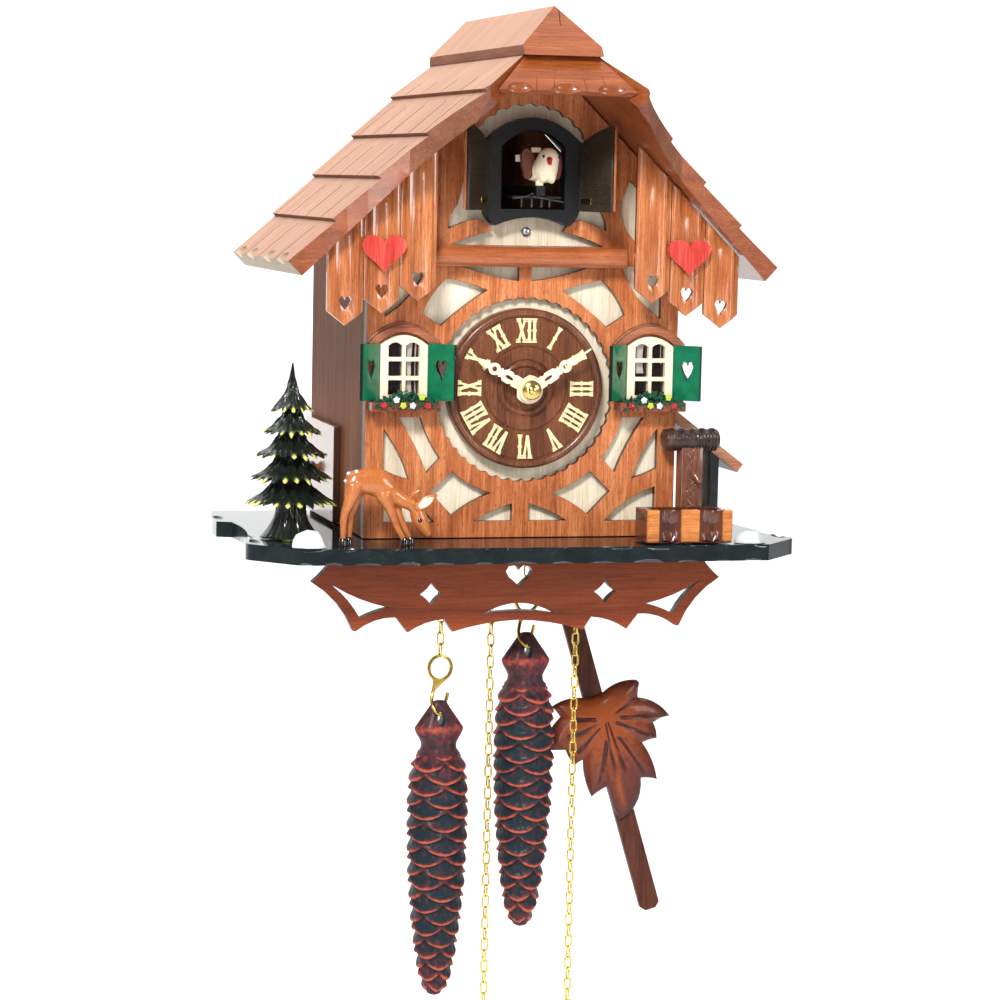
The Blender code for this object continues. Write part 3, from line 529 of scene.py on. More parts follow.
def wire(points, radius, cyclic=False, sides=10):
    """A round wire through points in the house frame."""
    path = [Vector(p) for p in points]
    rings, count = [], len(path)
    side = None
    for i, p in enumerate(path):
        before = path[i - 1] if cyclic or i else p
        after = path[(i + 1) % count] if cyclic or i < count - 1 else p
        along = (after - before).normalized()
        side = (side or along.orthogonal())
        side = (side - along * side.dot(along)).normalized()
        up = along.cross(side)
        rings.append([p + (side * math.cos(a) + up * math.sin(a)) * radius
                      for a in (math.tau * k / sides for k in range(sides))])
    if cyclic:
        verts, faces = grid(rings + [rings[0]], False)
    else:
        verts, faces = grid(rings)
    return smooth_by_angle(weld(mesh_of(verts, faces)), 50)


def ball(centre, radii, segments=20, rings=12):
    """An ellipsoid: a cutter, or one lump of a larger shape."""
    loops = []
    for i in range(rings + 1):
        a = math.pi * i / rings
        s = max(math.sin(a), 0.001)
        loops.append([Vector(centre) + Vector((radii[0] * s * math.cos(t), radii[1] * s * math.sin(t),
                                               radii[2] * math.cos(a)))
                      for t in (math.tau * j / segments for j in range(segments))])
    mesh = mesh_of(*grid(loops))
    mesh.shade_smooth()
    return mesh


def blob(strokes, voxel, rounds=6):
    """A soft solid round strokes of (x, y, z, radius) points; each stroke has its own squash along y."""
    balls = []
    for squash, stroke in strokes:
        for p, q in zip(stroke, stroke[1:]):
            gap = (Vector(q[:3]) - Vector(p[:3])).length
            count = max(1, round(gap / (0.3 * min(p[3], q[3]))))
            for i in range(count + 1):
                t = i / count
                x, y, z, r = (a + (b - a) * t for a, b in zip(p, q))
                balls.append(ball((x, y, z), (r, r * squash, r), 14, 8))
    obj = loose(join(balls))
    remesh = obj.modifiers.new("voxels", "REMESH")
    remesh.mode = "VOXEL"
    remesh.voxel_size = voxel * MM
    relax = obj.modifiers.new("relax", "SMOOTH")
    relax.iterations = rounds
    mesh = settle(obj)
    mesh.shade_smooth()
    return mesh


def node_mesh(name):
    """A copy of a CAD node's mesh, to be worked further."""
    return weld(NODES[name].data.copy())


def dress(name, finish, width=0.3, segments=2):
    """A CAD node kept as it is, with softened edges."""
    node = NODES[name]
    node.material_slots[0].material = finish
    welded = node.modifiers.new("weld", "WELD")
    welded.merge_threshold = WELD
    if width:
        bevel = node.modifiers.new("edges", "BEVEL")
        bevel.width = width * MM
        bevel.segments = segments
        bevel.limit_method = "ANGLE"
        bevel.angle_limit = math.radians(40)
        bevel.harden_normals = False


# ---------------------------------------------------------------- case


def make_case():
    dress("facade_fretwork", FACADE, 0.5, 1)
    dress("facade_backing", MAPLE, 0.2)
    dress("side_wall_left", WALLS, 0.4)
    dress("side_wall_right", WALLS, 0.4)
    dress("rear_panel", BACK_WOOD, 0.4)
    dress("hanger_rail", BACK_WOOD, 0.4)
    dress("apron", APRON, 0.35)
    for side in ("left", "right"):
        dress(f"side_door_{side}", SIDE_DOOR, 0.4)
        dress(f"heart_{side}", RED, 0.7, 3)

    low, high = low_high("beam_rail")
    half, radius = high.x, (high.z - low.z) / 2
    profile = [(0, -half), (radius - 0.6, -half), (radius, -half + 0.6), (radius, half - 0.6), (radius - 0.6, half),
               (0, half)]
    rail = turned(profile, (0, (low.y + high.y) / 2, (low.z + high.z) / 2), "x", 40)
    piece("rail", rail, RAIL, "case", ["beam_rail"])


def scoop(x, y, z, radii):
    return ball((x, y, z), radii, 16, 10)


def make_deck():
    """The base board: a mirror-like top, and edges gouged by hand all round the front."""
    rng = random.Random(4)
    low, high = low_high("base_board")
    cutters = []
    x = -108.0
    while x < 110.0:
        long = rng.uniform(7.0, 12.0)
        edge = -36.5 + max(0.0, abs(x) - 52.0) * 0.048
        cutters.append(scoop(x + long, edge - 1.2, 0.9, (long, rng.uniform(2.6, 3.4), rng.uniform(2.4, 3.0))))
        cutters.append(scoop(x + long * 0.4, edge - 1.0, low.z - 0.8, (long * 0.8, 2.6, rng.uniform(2.0, 2.6))))
        x += long * 1.75
    for side in (-1, 1):
        for y in (-4.0, 12.0, 30.0, 46.0, 88.0):
            cutters.append(scoop(side * (high.x - 4.6), y, 0.9, (2.8, 8.5, 2.5)))
    mesh = bevelled(cut(node_mesh("base_board"), *cutters), 0.35, 2, 40)
    made = piece("deck", mesh, [DECK, CARVED_DECK], "case", ["base_board"])
    for face in made.data.polygons:
        flat = face.normal.z > 0.999 and house(face.center).z > -0.1
        face.material_index = 0 if flat else 1


def flute(x, half_width, depth, front):
    """A long round hollow down the front of a board."""
    radius = (half_width ** 2 + depth ** 2) / (2 * depth)
    return turned([(radius, 80.0), (radius, 225.0)], (x, front - radius + depth, 0), "z", 72)


def make_slats():
    """Moulded boards beside the gable: each has a wide hollow between two beads."""
    for side, sign in (("left", -1), ("right", 1)):
        low, high = low_high(f"slats_{side}")
        inner, outer = sorted((abs(low.x), abs(high.x)))
        width = (outer - inner) / 3
        cutters = []
        for i in range(4):
            x = sign * (inner + i * width)
            cutters.append(flute(x, 2.5, 1.15, low.y))
            if 0 < i < 3:
                cutters.append(beam((x, low.y, 80), (x, low.y, 225), Vector((0.18, 0, 0)), Vector((0, 2.0, 0))))
            if i < 3:
                cutters.append(flute(x + sign * width / 2, 4.5, 1.1, low.y))
        mesh = node_mesh(f"slats_{side}")
        for cutter in cutters:
            mesh = cut(mesh, cutter)
        piece(f"moulded_slats_{side}", bevelled(mesh, 0.25, 2, 35), SLATS, "case", [f"slats_{side}"])


# ---------------------------------------------------------------- roof

RIDGE = low_high("ridge_cap")[1].z
EAVE = low_high("roof_right")[1].x
ROW_FIRST, ROW_COUNT, ROW_STEP = 17.8, 5, 1.8
# How far back the gaps between the shingles lie, row by row down the slope.
SHINGLE_GAPS = ((84.0, 52.0, 16.0, -20.0), (98.0, 67.0, 33.0, -3.0, -28.0), (84.0, 52.0, 16.0, -14.0),
                (105.0, 72.0, 36.0, 1.5), (82.0, 50.0, 10.0))


# The roof's material numbers, in the order of its finishes.
TOP, FRONT, SCORED, EAVE_CUT, SHADED = range(5)
ROOF_FINISHES = [SHINGLE, BARGE, GROOVE, EAVE_END, BARGE_PAINTED_SHADE]


def tell_faces(mesh):
    """Weathered tops, front edges, scored grooves with the butts, and the sawn eave ends."""
    for face in mesh.polygons:
        if face.material_index in (SCORED, EAVE_CUT, SHADED):
            continue
        at_eave = abs(house(face.center).x) > EAVE - 7.0
        sideways = abs(face.normal.x) > 0.35 and face.normal.z < 0.35
        if face.normal.z > 0.45 and abs(face.normal.y) < 0.35:
            face.material_index = TOP
        elif sideways and face.normal.x * face.center.x > 0:
            face.material_index = EAVE_CUT if at_eave else SCORED
        else:
            face.material_index = FRONT


def ribbon(points, half_wide, below, above, out):
    """A closed cutter along a path: its floor lies below the path and its top above."""
    rings = []
    for p in points:
        side = Vector((0, half_wide, 0))
        rings.append([p - side - out * below, p + side - out * below, p + side + out * above, p - side + out * above])
    return mesh_of(*grid(rings))


def make_slope(side, sign, rng):
    pitch = (EAVE - ROW_FIRST) / ROW_COUNT
    out = Vector((sign, 0, 1)).normalized()
    cutters = []
    for row in range(ROW_COUNT):
        butt = ROW_FIRST + (row + 1) * pitch
        for y in SHINGLE_GAPS[row]:
            reach, bow = rng.uniform(0.74, 0.88), rng.uniform(1.5, 4.0)
            points = []
            for i in range(9):
                t = i / 8
                x = butt + 0.8 - (pitch * reach + 0.8) * t
                drop = ROW_STEP * max(0.0, butt - x) / pitch - 0.45 * t ** 3
                points.append(Vector((sign * x, y - bow * t * t, RIDGE - x)) - out * drop)
            cutters.append(marked(ribbon(points, 0.6, 0.8, 2.2, out), SCORED))
    for y in (100.0, 71.0, 31.0, -1.0):
        sawn = ball((sign * (EAVE - 0.6), y, RIDGE - EAVE + 1.0), (4.6, 7.0, 3.0), 20, 12)
        cutters.append(marked(sawn, EAVE_CUT))
    # The lower front arris is cut back, more and more towards the hip; the cut face takes the darker copy of the barge
    # wood as painted shade.
    foot, crown = Vector((sign * (EAVE - 6.0), -21.2, 114.6)), Vector((sign * 34.0, -64.2, 183.9))
    inward = Vector((-(crown - foot).y, (crown - foot).x, 0)).normalized()
    if inward.y < 0:
        inward = -inward
    rings = []
    for corner, tall, deep in ((foot - (crown - foot) * 0.05, 0.3, 0.3), (crown + (crown - foot) * 0.02, 6.5, 8.0)):
        b, c = corner + Vector((0, 0, tall)), corner + inward * deep
        rings.append([b + (b - c) * 0.5, c + (c - b) * 0.5, corner - inward * 6 - Vector((0, 0, 9))])
    mesh = cut(node_mesh(f"roof_{side}"), *cutters)
    mesh = cut(mesh, marked(mesh_of(*grid(rings)), SHADED))
    mesh = bevelled(mesh, 0.2, 2, 40)
    made = piece(f"shingles_{side}", mesh, ROOF_FINISHES, "case", [f"roof_{side}"])
    tell_faces(made.data)


def make_roof():
    rng = random.Random(11)
    make_slope("left", -1, rng)
    make_slope("right", 1, rng)

    crack = beam((0.5, -46.0, 216.0), (1.5, -38.0, 228.0), Vector((0.2, 0, 0)), Vector((0, -0.8, 1.0)))
    cap = bevelled(cut(node_mesh("ridge_cap"), marked(crack, SCORED)), 0.4, 2, 40)
    made = piece("cap", cap, ROOF_FINISHES[:4], "case", ["ridge_cap"])
    tell_faces(made.data)

    # The hip's lower edge is gouged into scallops.
    low = low_high("hip_panel")[0]
    cutters = [scoop(x, low.y - 0.6, low.z + 3.4, (r, 3.4, 3.6)) for x, r in ((-21, 6.0), (-1, 7.0), (19, 7.0))]
    for x, lean in ((-14.0, -1.5), (-6.0, -0.5), (8.0, 0.8), (17.0, 2.0)):
        start, end = Vector((x, low.y, low.z + 1.2)), Vector((x * 0.5 + lean, -44.0, 221.0))
        cutters.append(marked(beam(start, end, Vector((0.15, 0, 0)), Vector((0, -0.5, 0.4))), SCORED))
    hip = bevelled(cut(node_mesh("hip_panel"), *cutters), 0.3, 2, 40)
    piece("hip", hip, [BARGE, BARGE, GROOVE, BARGE], "case", ["hip_panel"])


# ---------------------------------------------------------------- dial and hands

DIAL = middle("dial")
DIAL_R = (low_high("dial")[1].x - low_high("dial")[0].x) / 2
DIAL_FLAT = -3.7


def face_turn(angle):
    """Turns a drawing about the dial's centre, clockwise from the top."""
    return Matrix.Translation((DIAL.x, 0, DIAL.z)) @ Matrix.Rotation(math.radians(angle), 4, "Y")


def make_dial():
    profile = [
        (3.4, -3.2), (DIAL_R, -3.2), (DIAL_R, 3.0), (34.7, 3.9), (34.0, 4.5), (33.1, 4.6), (32.3, 4.3), (31.7, 3.7),
        (31.3, 3.2), (30.9, 3.2), (30.6, 3.7), (18.9, 3.7), (18.6, 3.3), (18.3, 3.3), (18.0, 3.9), (12.9, 4.1),
        (12.4, 3.4), (11.9, 3.4), (11.5, 4.0), (10.5, 4.3), (9.7, 4.0), (9.3, 3.3), (8.8, 3.3), (8.4, 3.9), (3.4, 4.0),
        (3.4, -3.2),
    ]
    disc = weld(turned(profile, (DIAL.x, 0, DIAL.z), "-y", 96))
    piece("dial_disc", smooth_by_angle(disc, 50), WALNUT, "case", ["dial"])


def stroke(start, end, wide):
    """A bar of a numeral, in its own frame: across, and out from the dial's centre."""
    p, q = Vector(start), Vector(end)
    side = Vector((-(q - p).y, (q - p).x)).normalized() * wide / 2
    return [p + side, q + side, q - side, p - side]


def numeral_strokes(text, low, high):
    """The strokes of a Roman numeral with barbed serifs, centred on 0 across."""
    widths = {"I": 2.35, "V": 4.3, "X": 4.5}
    x = -sum(widths[letter] for letter in text) / 2
    strokes = []
    for letter in text:
        w = widths[letter]
        mid = x + w / 2
        feet = []
        if letter == "I":
            strokes.append(stroke((mid, low), (mid, high), 1.25))
            strokes.append(stroke((mid - 0.95, (low + high) / 2), (mid + 0.95, (low + high) / 2), 0.9))
            feet = [(mid, low), (mid, high)]
        elif letter == "V":
            strokes.append(stroke((mid - 1.4, high), (mid, low), 1.35))
            strokes.append(stroke((mid + 1.4, high), (mid, low), 0.95))
            feet = [(mid - 1.4, high), (mid + 1.4, high)]
        else:
            strokes.append(stroke((mid - 1.45, high), (mid + 1.45, low), 1.35))
            strokes.append(stroke((mid + 1.45, high), (mid - 1.45, low), 0.95))
            feet = [(mid + a, b) for a in (-1.45, 1.45) for b in (low, high)]
        for foot_x, foot_z in feet:
            inward = 0.55 if foot_z == low else -0.55
            strokes.append(stroke((foot_x - 1.1, foot_z), (foot_x + 1.1, foot_z), 0.8))
            strokes.append(stroke((foot_x - 0.95, foot_z + inward * 1.7), (foot_x + 0.95, foot_z + inward * 1.7), 0.5))
        x += w
    return strokes


def make_numerals():
    names = ("XII", "I", "II", "III", "IIII", "V", "VI", "VII", "VIII", "IX", "X", "XI")
    low, high = 0.585 * DIAL_R, 0.865 * DIAL_R
    for hour, text in enumerate(names):
        bars = []
        for i, loop in enumerate(numeral_strokes(text, low, high)):
            thick = 0.34 + 0.004 * i
            bars.append(board([loop], DIAL_FLAT - thick, thick, face_turn(30 * hour)))
        piece(f"numeral_{hour or 12}", join(bars), NUMERAL, "case")


def hand_half(length, hub, ring_at, ring_r, wide):
    """The right side of a pierced hand, from its hub to its tip."""
    ring = [(ring_r * math.sin(a), ring_at - ring_r * math.cos(a))
            for a in (math.radians(30 + 120 * i / 8) for i in range(9))]
    neck = ring_at - ring_r
    return [
        (wide * 0.9, hub * 0.75), (wide * 0.95, hub + 1.6), (wide * 0.72, hub + 2.6), (wide, hub + 3.6),
        (wide * 0.95, neck - 2.6), (wide * 0.55, neck - 1.4), (wide * 0.75, neck - 0.4), *ring,
        (wide * 0.42, ring_at + ring_r + 0.3), (wide * 0.72, ring_at + ring_r + 1.1),
        (wide * 0.30, ring_at + ring_r + 2.4), (0.28, length),
    ]


def make_hands():
    for name, length, hub, ring_at, ring_r, wide, angle in (
        ("hour", 27.8, 6.3, 18.0, 2.7, 2.9, -60.3),
        ("minute", 32.4, 5.4, 18.6, 2.8, 2.7, 56.2),
    ):
        half = hand_half(length, hub, ring_at, ring_r, wide)
        back = [(hub * math.sin(a), hub * math.cos(a)) for a in (math.radians(48 + 264 * i / 20) for i in range(1, 20))]
        loop = [*half, *[(-x, z) for x, z in reversed(half)], *reversed(back)]
        slot = [(0.75 * math.cos(a), hub + 4.0 + 2.1 * math.sin(a)) for a in (math.tau * i / 16 for i in range(16))]
        holes = [circle(0, 0, 1.6), slot, circle(0, ring_at, 1.15, 16)]
        low, high = low_high(f"{name}_hand")
        mesh = board([loop, *holes], low.y, high.y - low.y, face_turn(angle))
        body = f"{name}_hand"
        piece(f"{name}_pointer", bevelled(mesh, 0.18, 2, 40), CREAM, body, [body])
    nut = [
        (0.0, 17.2), (0.9, 17.1), (1.7, 16.7), (2.0, 15.9), (3.4, 15.5), (4.1, 14.9), (4.3, 14.0), (4.2, 13.2),
        (1.2, 13.0), (1.2, -22.0), (0.0, -22.0),
    ]
    mesh = turned(nut, (DIAL.x, 0, DIAL.z), "-y", 40)
    piece("hand_nut", mesh, BRASS, "minute_hand", ["arbor_nut"])


# ---------------------------------------------------------------- windows

def make_window(side, rng):
    low, high = low_high(f"window_{side}")
    x = (low.x + high.x) / 2
    dress(f"window_{side}", CREAM, 0.3)
    dress(f"flower_box_{side}", LEDGE, 0.4)
    for leaf in ("left", "right"):
        make_shutter(side, leaf)

    top = low.z + 24.0
    pane = outline([(x - 9.6, low.z + 0.8), (x + 9.6, low.z + 0.8), (x + 9.6, top, -3.6), (x - 9.6, top)])
    piece(f"panes_{side}", board([pane], -0.28, 0.22), GLASS, "case")
    strips = []
    for a, b, foot in ((1.8, 4.3, 1.2), (5.3, 6.2, 1.2)) if side == "left" else ((-5.6, -2.2, 12.0), (5.4, 6.2, 16.0)):
        loop = outline([(x + a, low.z + foot), (x + b, low.z + foot, 0.6), (x + b, top + 1.5), (x + a, top + 1.5)])
        strips.append(board([loop], -0.44, 0.12))
    piece(f"curtains_{side}", join(strips), CURTAIN, "case")

    # Two arched strips over the frame.
    foot = top + 0.6
    front = outline([(x - 15.6, foot, 8.3), (x + 15.6, foot), (x + 11.2, foot, -4.9), (x - 11.2, foot)], 12)
    behind = outline([(x - 17.0, foot, 9.4), (x + 17.0, foot), (x + 11.2, foot, -5.0), (x - 11.2, foot)], 12)
    piece(f"lintel_{side}", bevelled(board([front], -2.3, 1.1), 0.3), LINTEL, "case")
    piece(f"lintel_back_{side}", bevelled(board([behind], -1.15, 1.05), 0.3), LINTEL, "case")
    make_flowers(side, x, rng)


def make_shutter(side, leaf):
    """A painted leaf with dark rounded edges, the heart's rim among them."""
    name = f"shutter_{side}_{leaf}"
    mesh = node_mesh(name)
    front = max(mesh.polygons, key=lambda face: face.area).normal.copy()
    mesh = bevelled(mesh, 0.45, 3, 35)
    made = piece(f"leaf_{side}_{leaf}", mesh, [GREEN, SHUTTER_EDGE], "case", [name])
    for face in made.data.polygons:
        face.material_index = 0 if abs(face.normal.dot(front)) > 0.93 else 1


def leaf_blade(centre, along, out, length):
    """A small folded leaf: four triangles with a raised midrib."""
    side = along.cross(out).normalized() * length * 0.28
    tip, root = centre + along * length / 2, centre - along * length / 2
    rib = centre + out * length * 0.12
    back = centre - out * length * 0.10
    return [root, centre - side, tip, centre + side, rib, back]


def make_flowers(side, x, rng):
    """A low bushy row of sponge-like foliage, with a few small flowers stuck into it."""
    clumps = []
    for i in range(64):
        across = -14.0 + 28.0 * i / 63
        crest = 3.2 + 3.6 * math.cos(across * 0.10) ** 2 + 0.7 * math.sin(across * 1.9)
        for _ in range(7):
            z = 57.2 + rng.uniform(0.0, max(1.2, crest))
            clumps.append(ball((x + across + rng.uniform(-0.6, 0.6), rng.uniform(-9.6, -4.6), z),
                               [rng.uniform(0.45, 0.95) for _ in range(3)], 7, 5))
    piece(f"foliage_{side}", join(clumps), FOLIAGE, "case")
    verts, faces = [], []
    for i in range(260):
        across = rng.uniform(-14.4, 14.4)
        crest = 3.6 + 3.9 * math.cos(across * 0.10) ** 2 + 0.7 * math.sin(across * 1.9)
        centre = Vector((x + across, rng.uniform(-10.2, -4.6), 57.2 + rng.uniform(0.0, crest)))
        along = Vector((rng.uniform(-1, 1), rng.uniform(-0.6, 0.1), rng.uniform(-0.7, 1))).normalized()
        out = Vector((rng.uniform(-0.4, 0.4), -1, rng.uniform(-0.2, 0.6))).normalized()
        base = len(verts)
        verts += leaf_blade(centre, along, out, rng.uniform(1.4, 2.4))
        root, left, tip, right, rib, back = range(base, base + 6)
        for a, b in ((root, left), (left, tip), (tip, right), (right, root)):
            faces += [(a, b, rib), (b, a, back)]
    piece(f"sprigs_{side}", mesh_of(verts, faces), FOLIAGE, "case")
    spots = {
        "white": ((-4.6, 61.4), (2.6, 58.9)), "yellow": ((6.6, 62.6), (-1.6, 59.0)),
        "red": ((-10.2, 59.0), (9.4, 58.8)),
    }
    for colour, places in spots.items():
        petals = []
        for dx, z in places:
            for i in range(5):
                a = math.tau * i / 5 + dx
                centre = (x + dx + 0.85 * math.cos(a), -10.3, z + 0.85 * math.sin(a))
                petals.append(ball(centre, (0.7, 0.45, 0.7), 10, 6))
            petals.append(ball((x + dx, -10.6, z), (0.5, 0.4, 0.5), 8, 6))
        piece(f"flowers_{colour}_{side}", join(petals), PETALS[colour], "case")


# ---------------------------------------------------------------- bird door

def screw_head(name, x, y, z, radius, finish):
    """A domed cross-slotted head that faces the front."""
    dome = turned([(0, 0.7), (radius * 0.5, 0.62), (radius * 0.85, 0.35), (radius, 0.0), (radius, -0.5), (0, -0.5)],
                  (x, y, z), "-y", 24)
    slots = [beam((x - dx, y - 0.5, z - dz), (x + dx, y - 0.5, z + dz), Vector((dz, 0, dx)).normalized() * 0.22,
                  Vector((0, 0.45, 0))) for dx, dz in ((radius * 0.45, radius * 0.4), (radius * 0.4, -radius * 0.45))]
    mesh = cut(cut(dome, slots[0]), slots[1])
    piece(name, smooth_by_angle(mesh, 30), finish, "case")


def swung(x, z_axis_y, angle):
    """Turns a leaf about its upright hinge line."""
    return Matrix.Translation((x, z_axis_y, 0)) @ Matrix.Rotation(math.radians(angle), 4, "Z")


DOOR_OPEN = {"left": 128.0, "right": 116.0}


def make_bird_door():
    dress("bird_door_frame", BLACK, 0.35, 3)
    frame_low, frame_high = low_high("bird_door_frame")
    mid_x = (frame_low.x + frame_high.x) / 2
    for side, sign in (("left", -1), ("right", 1)):
        joint = JOINTS[f"bird_door_{side}_turn"]
        hinge = house(joint["pos_m"])
        width, foot, tall, crown = 20.4, 143.4, 172.6, 180.6
        leaf = outline([(0, foot), (width, foot), (width, crown, -0.8), (0, tall)])
        if sign > 0:
            leaf = [(-x, z) for x, z in reversed(leaf)]
        turn = swung(hinge.x, hinge.y, sign * DOOR_OPEN[side])
        plate = board([leaf], -0.9, 1.5, turn)
        slits = []
        for i in range(24):
            z = foot + 3.5 + i * 1.32
            a, b = sorted((-sign * 1.6, -sign * (width - 1.6)))
            slits.append(board([[(a, z), (b, z), (b, z + 0.5), (a, z + 0.5)]], 0.35, 1.2, turn))
        plate = bevelled(cut(plate, *slits), 0.15, 1, 40)
        body = f"bird_door_{side}"
        piece(f"louvre_{side}", plate, DARK_PLASTIC, body, [body])
        inset = outline([(0.4, foot + 0.3), (width, foot + 0.3), (width, crown - 0.3, -0.8), (0.4, tall - 0.2)])
        if sign > 0:
            inset = [(-x, z) for x, z in reversed(inset)]
        facing = board([inset], -2.5, 1.55, turn)
        piece(f"leaf_board_{side}", bevelled(facing, 0.3), SLATS, body)
        a, b = sorted((-sign * 1.2, -sign * 8.0))
        lug = board([[(a, foot + 3.2), (b, foot + 3.2), (b, foot + 5.6), (a, foot + 5.6)]], 0.6, 0.35, turn)
        piece(f"leaf_lug_{side}", bevelled(lug, 0.2), BRASS, body)
        screw_head(f"frame_screw_{side}", mid_x + sign * 17.4, frame_low.y + 0.95, 157.4, 1.75, BLACK_STEEL)
        for z in (151.6, 166.0):
            hinge_lug = block((hinge.x - sign * 4.4 - 1.6, frame_low.y - 0.05, z - 2.2),
                              (hinge.x - sign * 4.4 + 1.6, frame_low.y + 0.5, z + 2.2))
            piece(f"hinge_lug_{side}_{round(z)}", bevelled(hinge_lug, 0.3), BLACK, "case")
    screw_head("facade_screw", 0.7, 2.6, 134.1, 2.0, STEEL)

    dress("bird_arm", BLACK, 0.3)
    arm_low = low_high("bird_arm")[0]
    tray = block((mid_x - 11.0, arm_low.y + 4.0, arm_low.z - 1.2), (mid_x + 11.0, arm_low.y + 16.0, arm_low.z - 0.1))
    piece("bird_tray", bevelled(tray, 0.3), BLACK, "bird_carriage")
    rods = [wire([(mid_x + x, arm_low.y + 5.0, arm_low.z - 5.0), (mid_x + x, arm_low.y + 5.0, arm_low.z - 1.0)], 0.5)
            for x in (-6.5, -2.0, 2.4, 6.0)]
    piece("tray_rods", join(rods), BLACK_STEEL, "bird_carriage")
    link = [(-10.2, arm_low.y + 1.0, 148.6), (-4.0, arm_low.y + 0.6, 149.6), (-1.6, arm_low.y + 0.4, 151.0),
            (-1.0, arm_low.y + 0.4, 149.6), (6.0, arm_low.y + 0.4, 148.4), (12.4, arm_low.y + 0.8, 147.4)]
    piece("door_link", wire(link, 0.28), BLACK_STEEL, "bird_carriage")
    make_bird()


def make_bird():
    """A moulded bird that faces out, with a leaf-shaped wing on each flank and small mounting tabs."""
    body = blob([
        (1.0, [(4.6, -11.6, 161.4, 5.7), (5.7, -12.6, 165.9, 4.8)]),
        (1.0, [(4.0, -10.4, 160.6, 5.4), (0.2, -7.8, 160.6, 4.4), (-2.0, -6.6, 163.4, 2.4)]),
        (1.0, [(6.9, -13.4, 158.2, 2.3), (7.2, -12.8, 156.7, 1.6)]),
        (1.0, [(3.2, -13.4, 158.0, 2.3), (2.8, -12.8, 156.6, 1.6)]),
    ], 0.45, 5)
    piece("bird_body", body, CREAM, "bird_carriage", ["bird"])
    left = outline([(-4.2, 170.4, -1.0), (-6.4, 165.0, -0.4), (-5.2, 160.0, -0.8), (-2.6, 156.8, -1.2),
                    (-0.2, 161.0, -0.3), (0.3, 167.0, -0.6)])
    left = [(u + 2.6, w) for u, w in left][::-1]
    right = outline([(-1.6, 156.8, -1.0), (1.6, 160.0, -0.6), (1.4, 167.0, -0.6), (-1.4, 168.4, -1.2)])
    for name, loop, x, y, turn in (("left", left, -3.4, -12.4, 24), ("right", right, 10.2, -11.4, -64)):
        place = Matrix.Translation((x, y, 0)) @ Matrix.Rotation(math.radians(turn), 4, "Z")
        mesh = board([loop], -0.8, 1.6, place)
        piece(f"bird_wing_{name}", bevelled(mesh, 0.6, 3), WING, "bird_carriage")
    beak = blob([(0.9, [(5.0, -16.6, 165.6, 1.35), (5.1, -18.2, 165.4, 0.9)]),
                 (0.9, [(5.0, -16.4, 164.6, 1.3), (5.2, -17.8, 163.8, 0.7)])], 0.22, 3)
    piece("bird_beak", beak, PETALS["red"], "bird_carriage")
    eyes = join([ball((2.5, -16.3, 166.8), (0.62, 0.5, 0.68), 12, 8),
                 ball((9.6, -15.2, 166.6), (0.5, 0.6, 0.68), 12, 8)])
    piece("bird_eyes", eyes, HOOF, "bird_carriage")
    tabs = [block((-8.0, -9.6, 164.4), (-4.6, -8.0, 167.4)), block((-1.0, -9.4, 168.4), (3.4, -7.6, 170.6)),
            block((0.2, -13.6, 153.8), (3.4, -11.8, 156.6))]
    piece("bird_tabs", join([bevelled(tab, 0.35, 3) for tab in tabs]), CREAM, "bird_carriage")


# ---------------------------------------------------------------- figures on the deck

TREE_X, TREE_Y = middle("fir_tree").x, middle("fir_tree").y


def tinted(mesh, values):
    """Stores a tint for each point of the mesh, which edged() colours by."""
    store = mesh.attributes.new("tint", "FLOAT", "POINT")
    store.data.foreach_set("value", values)
    return mesh


def skirt(top, top_r, edge, edge_r, lobes, phase, rng):
    """One tier of branches: a concave cone whose rim hangs in pointed lobes with frosted tips."""
    steps, rows = 240, 20
    sizes = [rng.uniform(0.55, 1.3) for _ in range(lobes)]
    frosted = [rng.random() < 0.72 for _ in range(lobes)]
    rings, tints = [], []
    for i in range(rows):
        t = i / (rows - 1)
        ring = []
        for j in range(steps):
            a = math.tau * j / steps
            at_lobe = (a / math.tau * lobes + phase) % lobes
            wave = 1 - abs(2 * (at_lobe % 1.0) - 1)
            size = sizes[int(at_lobe)]
            r = top_r + (edge_r - top_r) * (0.25 * t + 0.75 * t ** 2.8)
            knots = noise.noise(Vector((math.cos(a) * edge_r * 0.45, math.sin(a) * edge_r * 0.45, t * 5 + edge)))
            swirl = math.sin(a * lobes * 2 + 7 * t + 3 * knots)
            r *= 1 + 0.20 * size * (wave - 0.5) * t ** 0.8
            r += (0.9 * knots + 0.35 * swirl) * min(1.0, 3 * t) * (1.1 - 0.4 * t)
            z = top + (edge - top) * (t ** 0.85) - 2.6 * size * (wave - 0.35) * t ** 6 + 0.6 * knots * t
            ring.append((TREE_X + r * math.cos(a), TREE_Y + r * math.sin(a), z))
            rim = max(0.0, (t - 0.80) / 0.20)
            tints.append(rim * max(0.0, wave - 0.25) * (1.9 if frosted[int(at_lobe)] else 0.2) * min(1.0, size + 0.2))
        rings.append(ring)
    for inset, lift, tint in ((0.93, 0.35, 0.5), (0.45, 2.6, 0.0)):
        ring = []
        for j in range(steps):
            x, y, z = rings[rows - 1][j]
            ring.append((TREE_X + (x - TREE_X) * inset, TREE_Y + (y - TREE_Y) * inset, z + lift))
            tints.append(tint)
        rings.append(ring)
    return tinted(mesh_of(*grid(rings), smooth=True), tints)


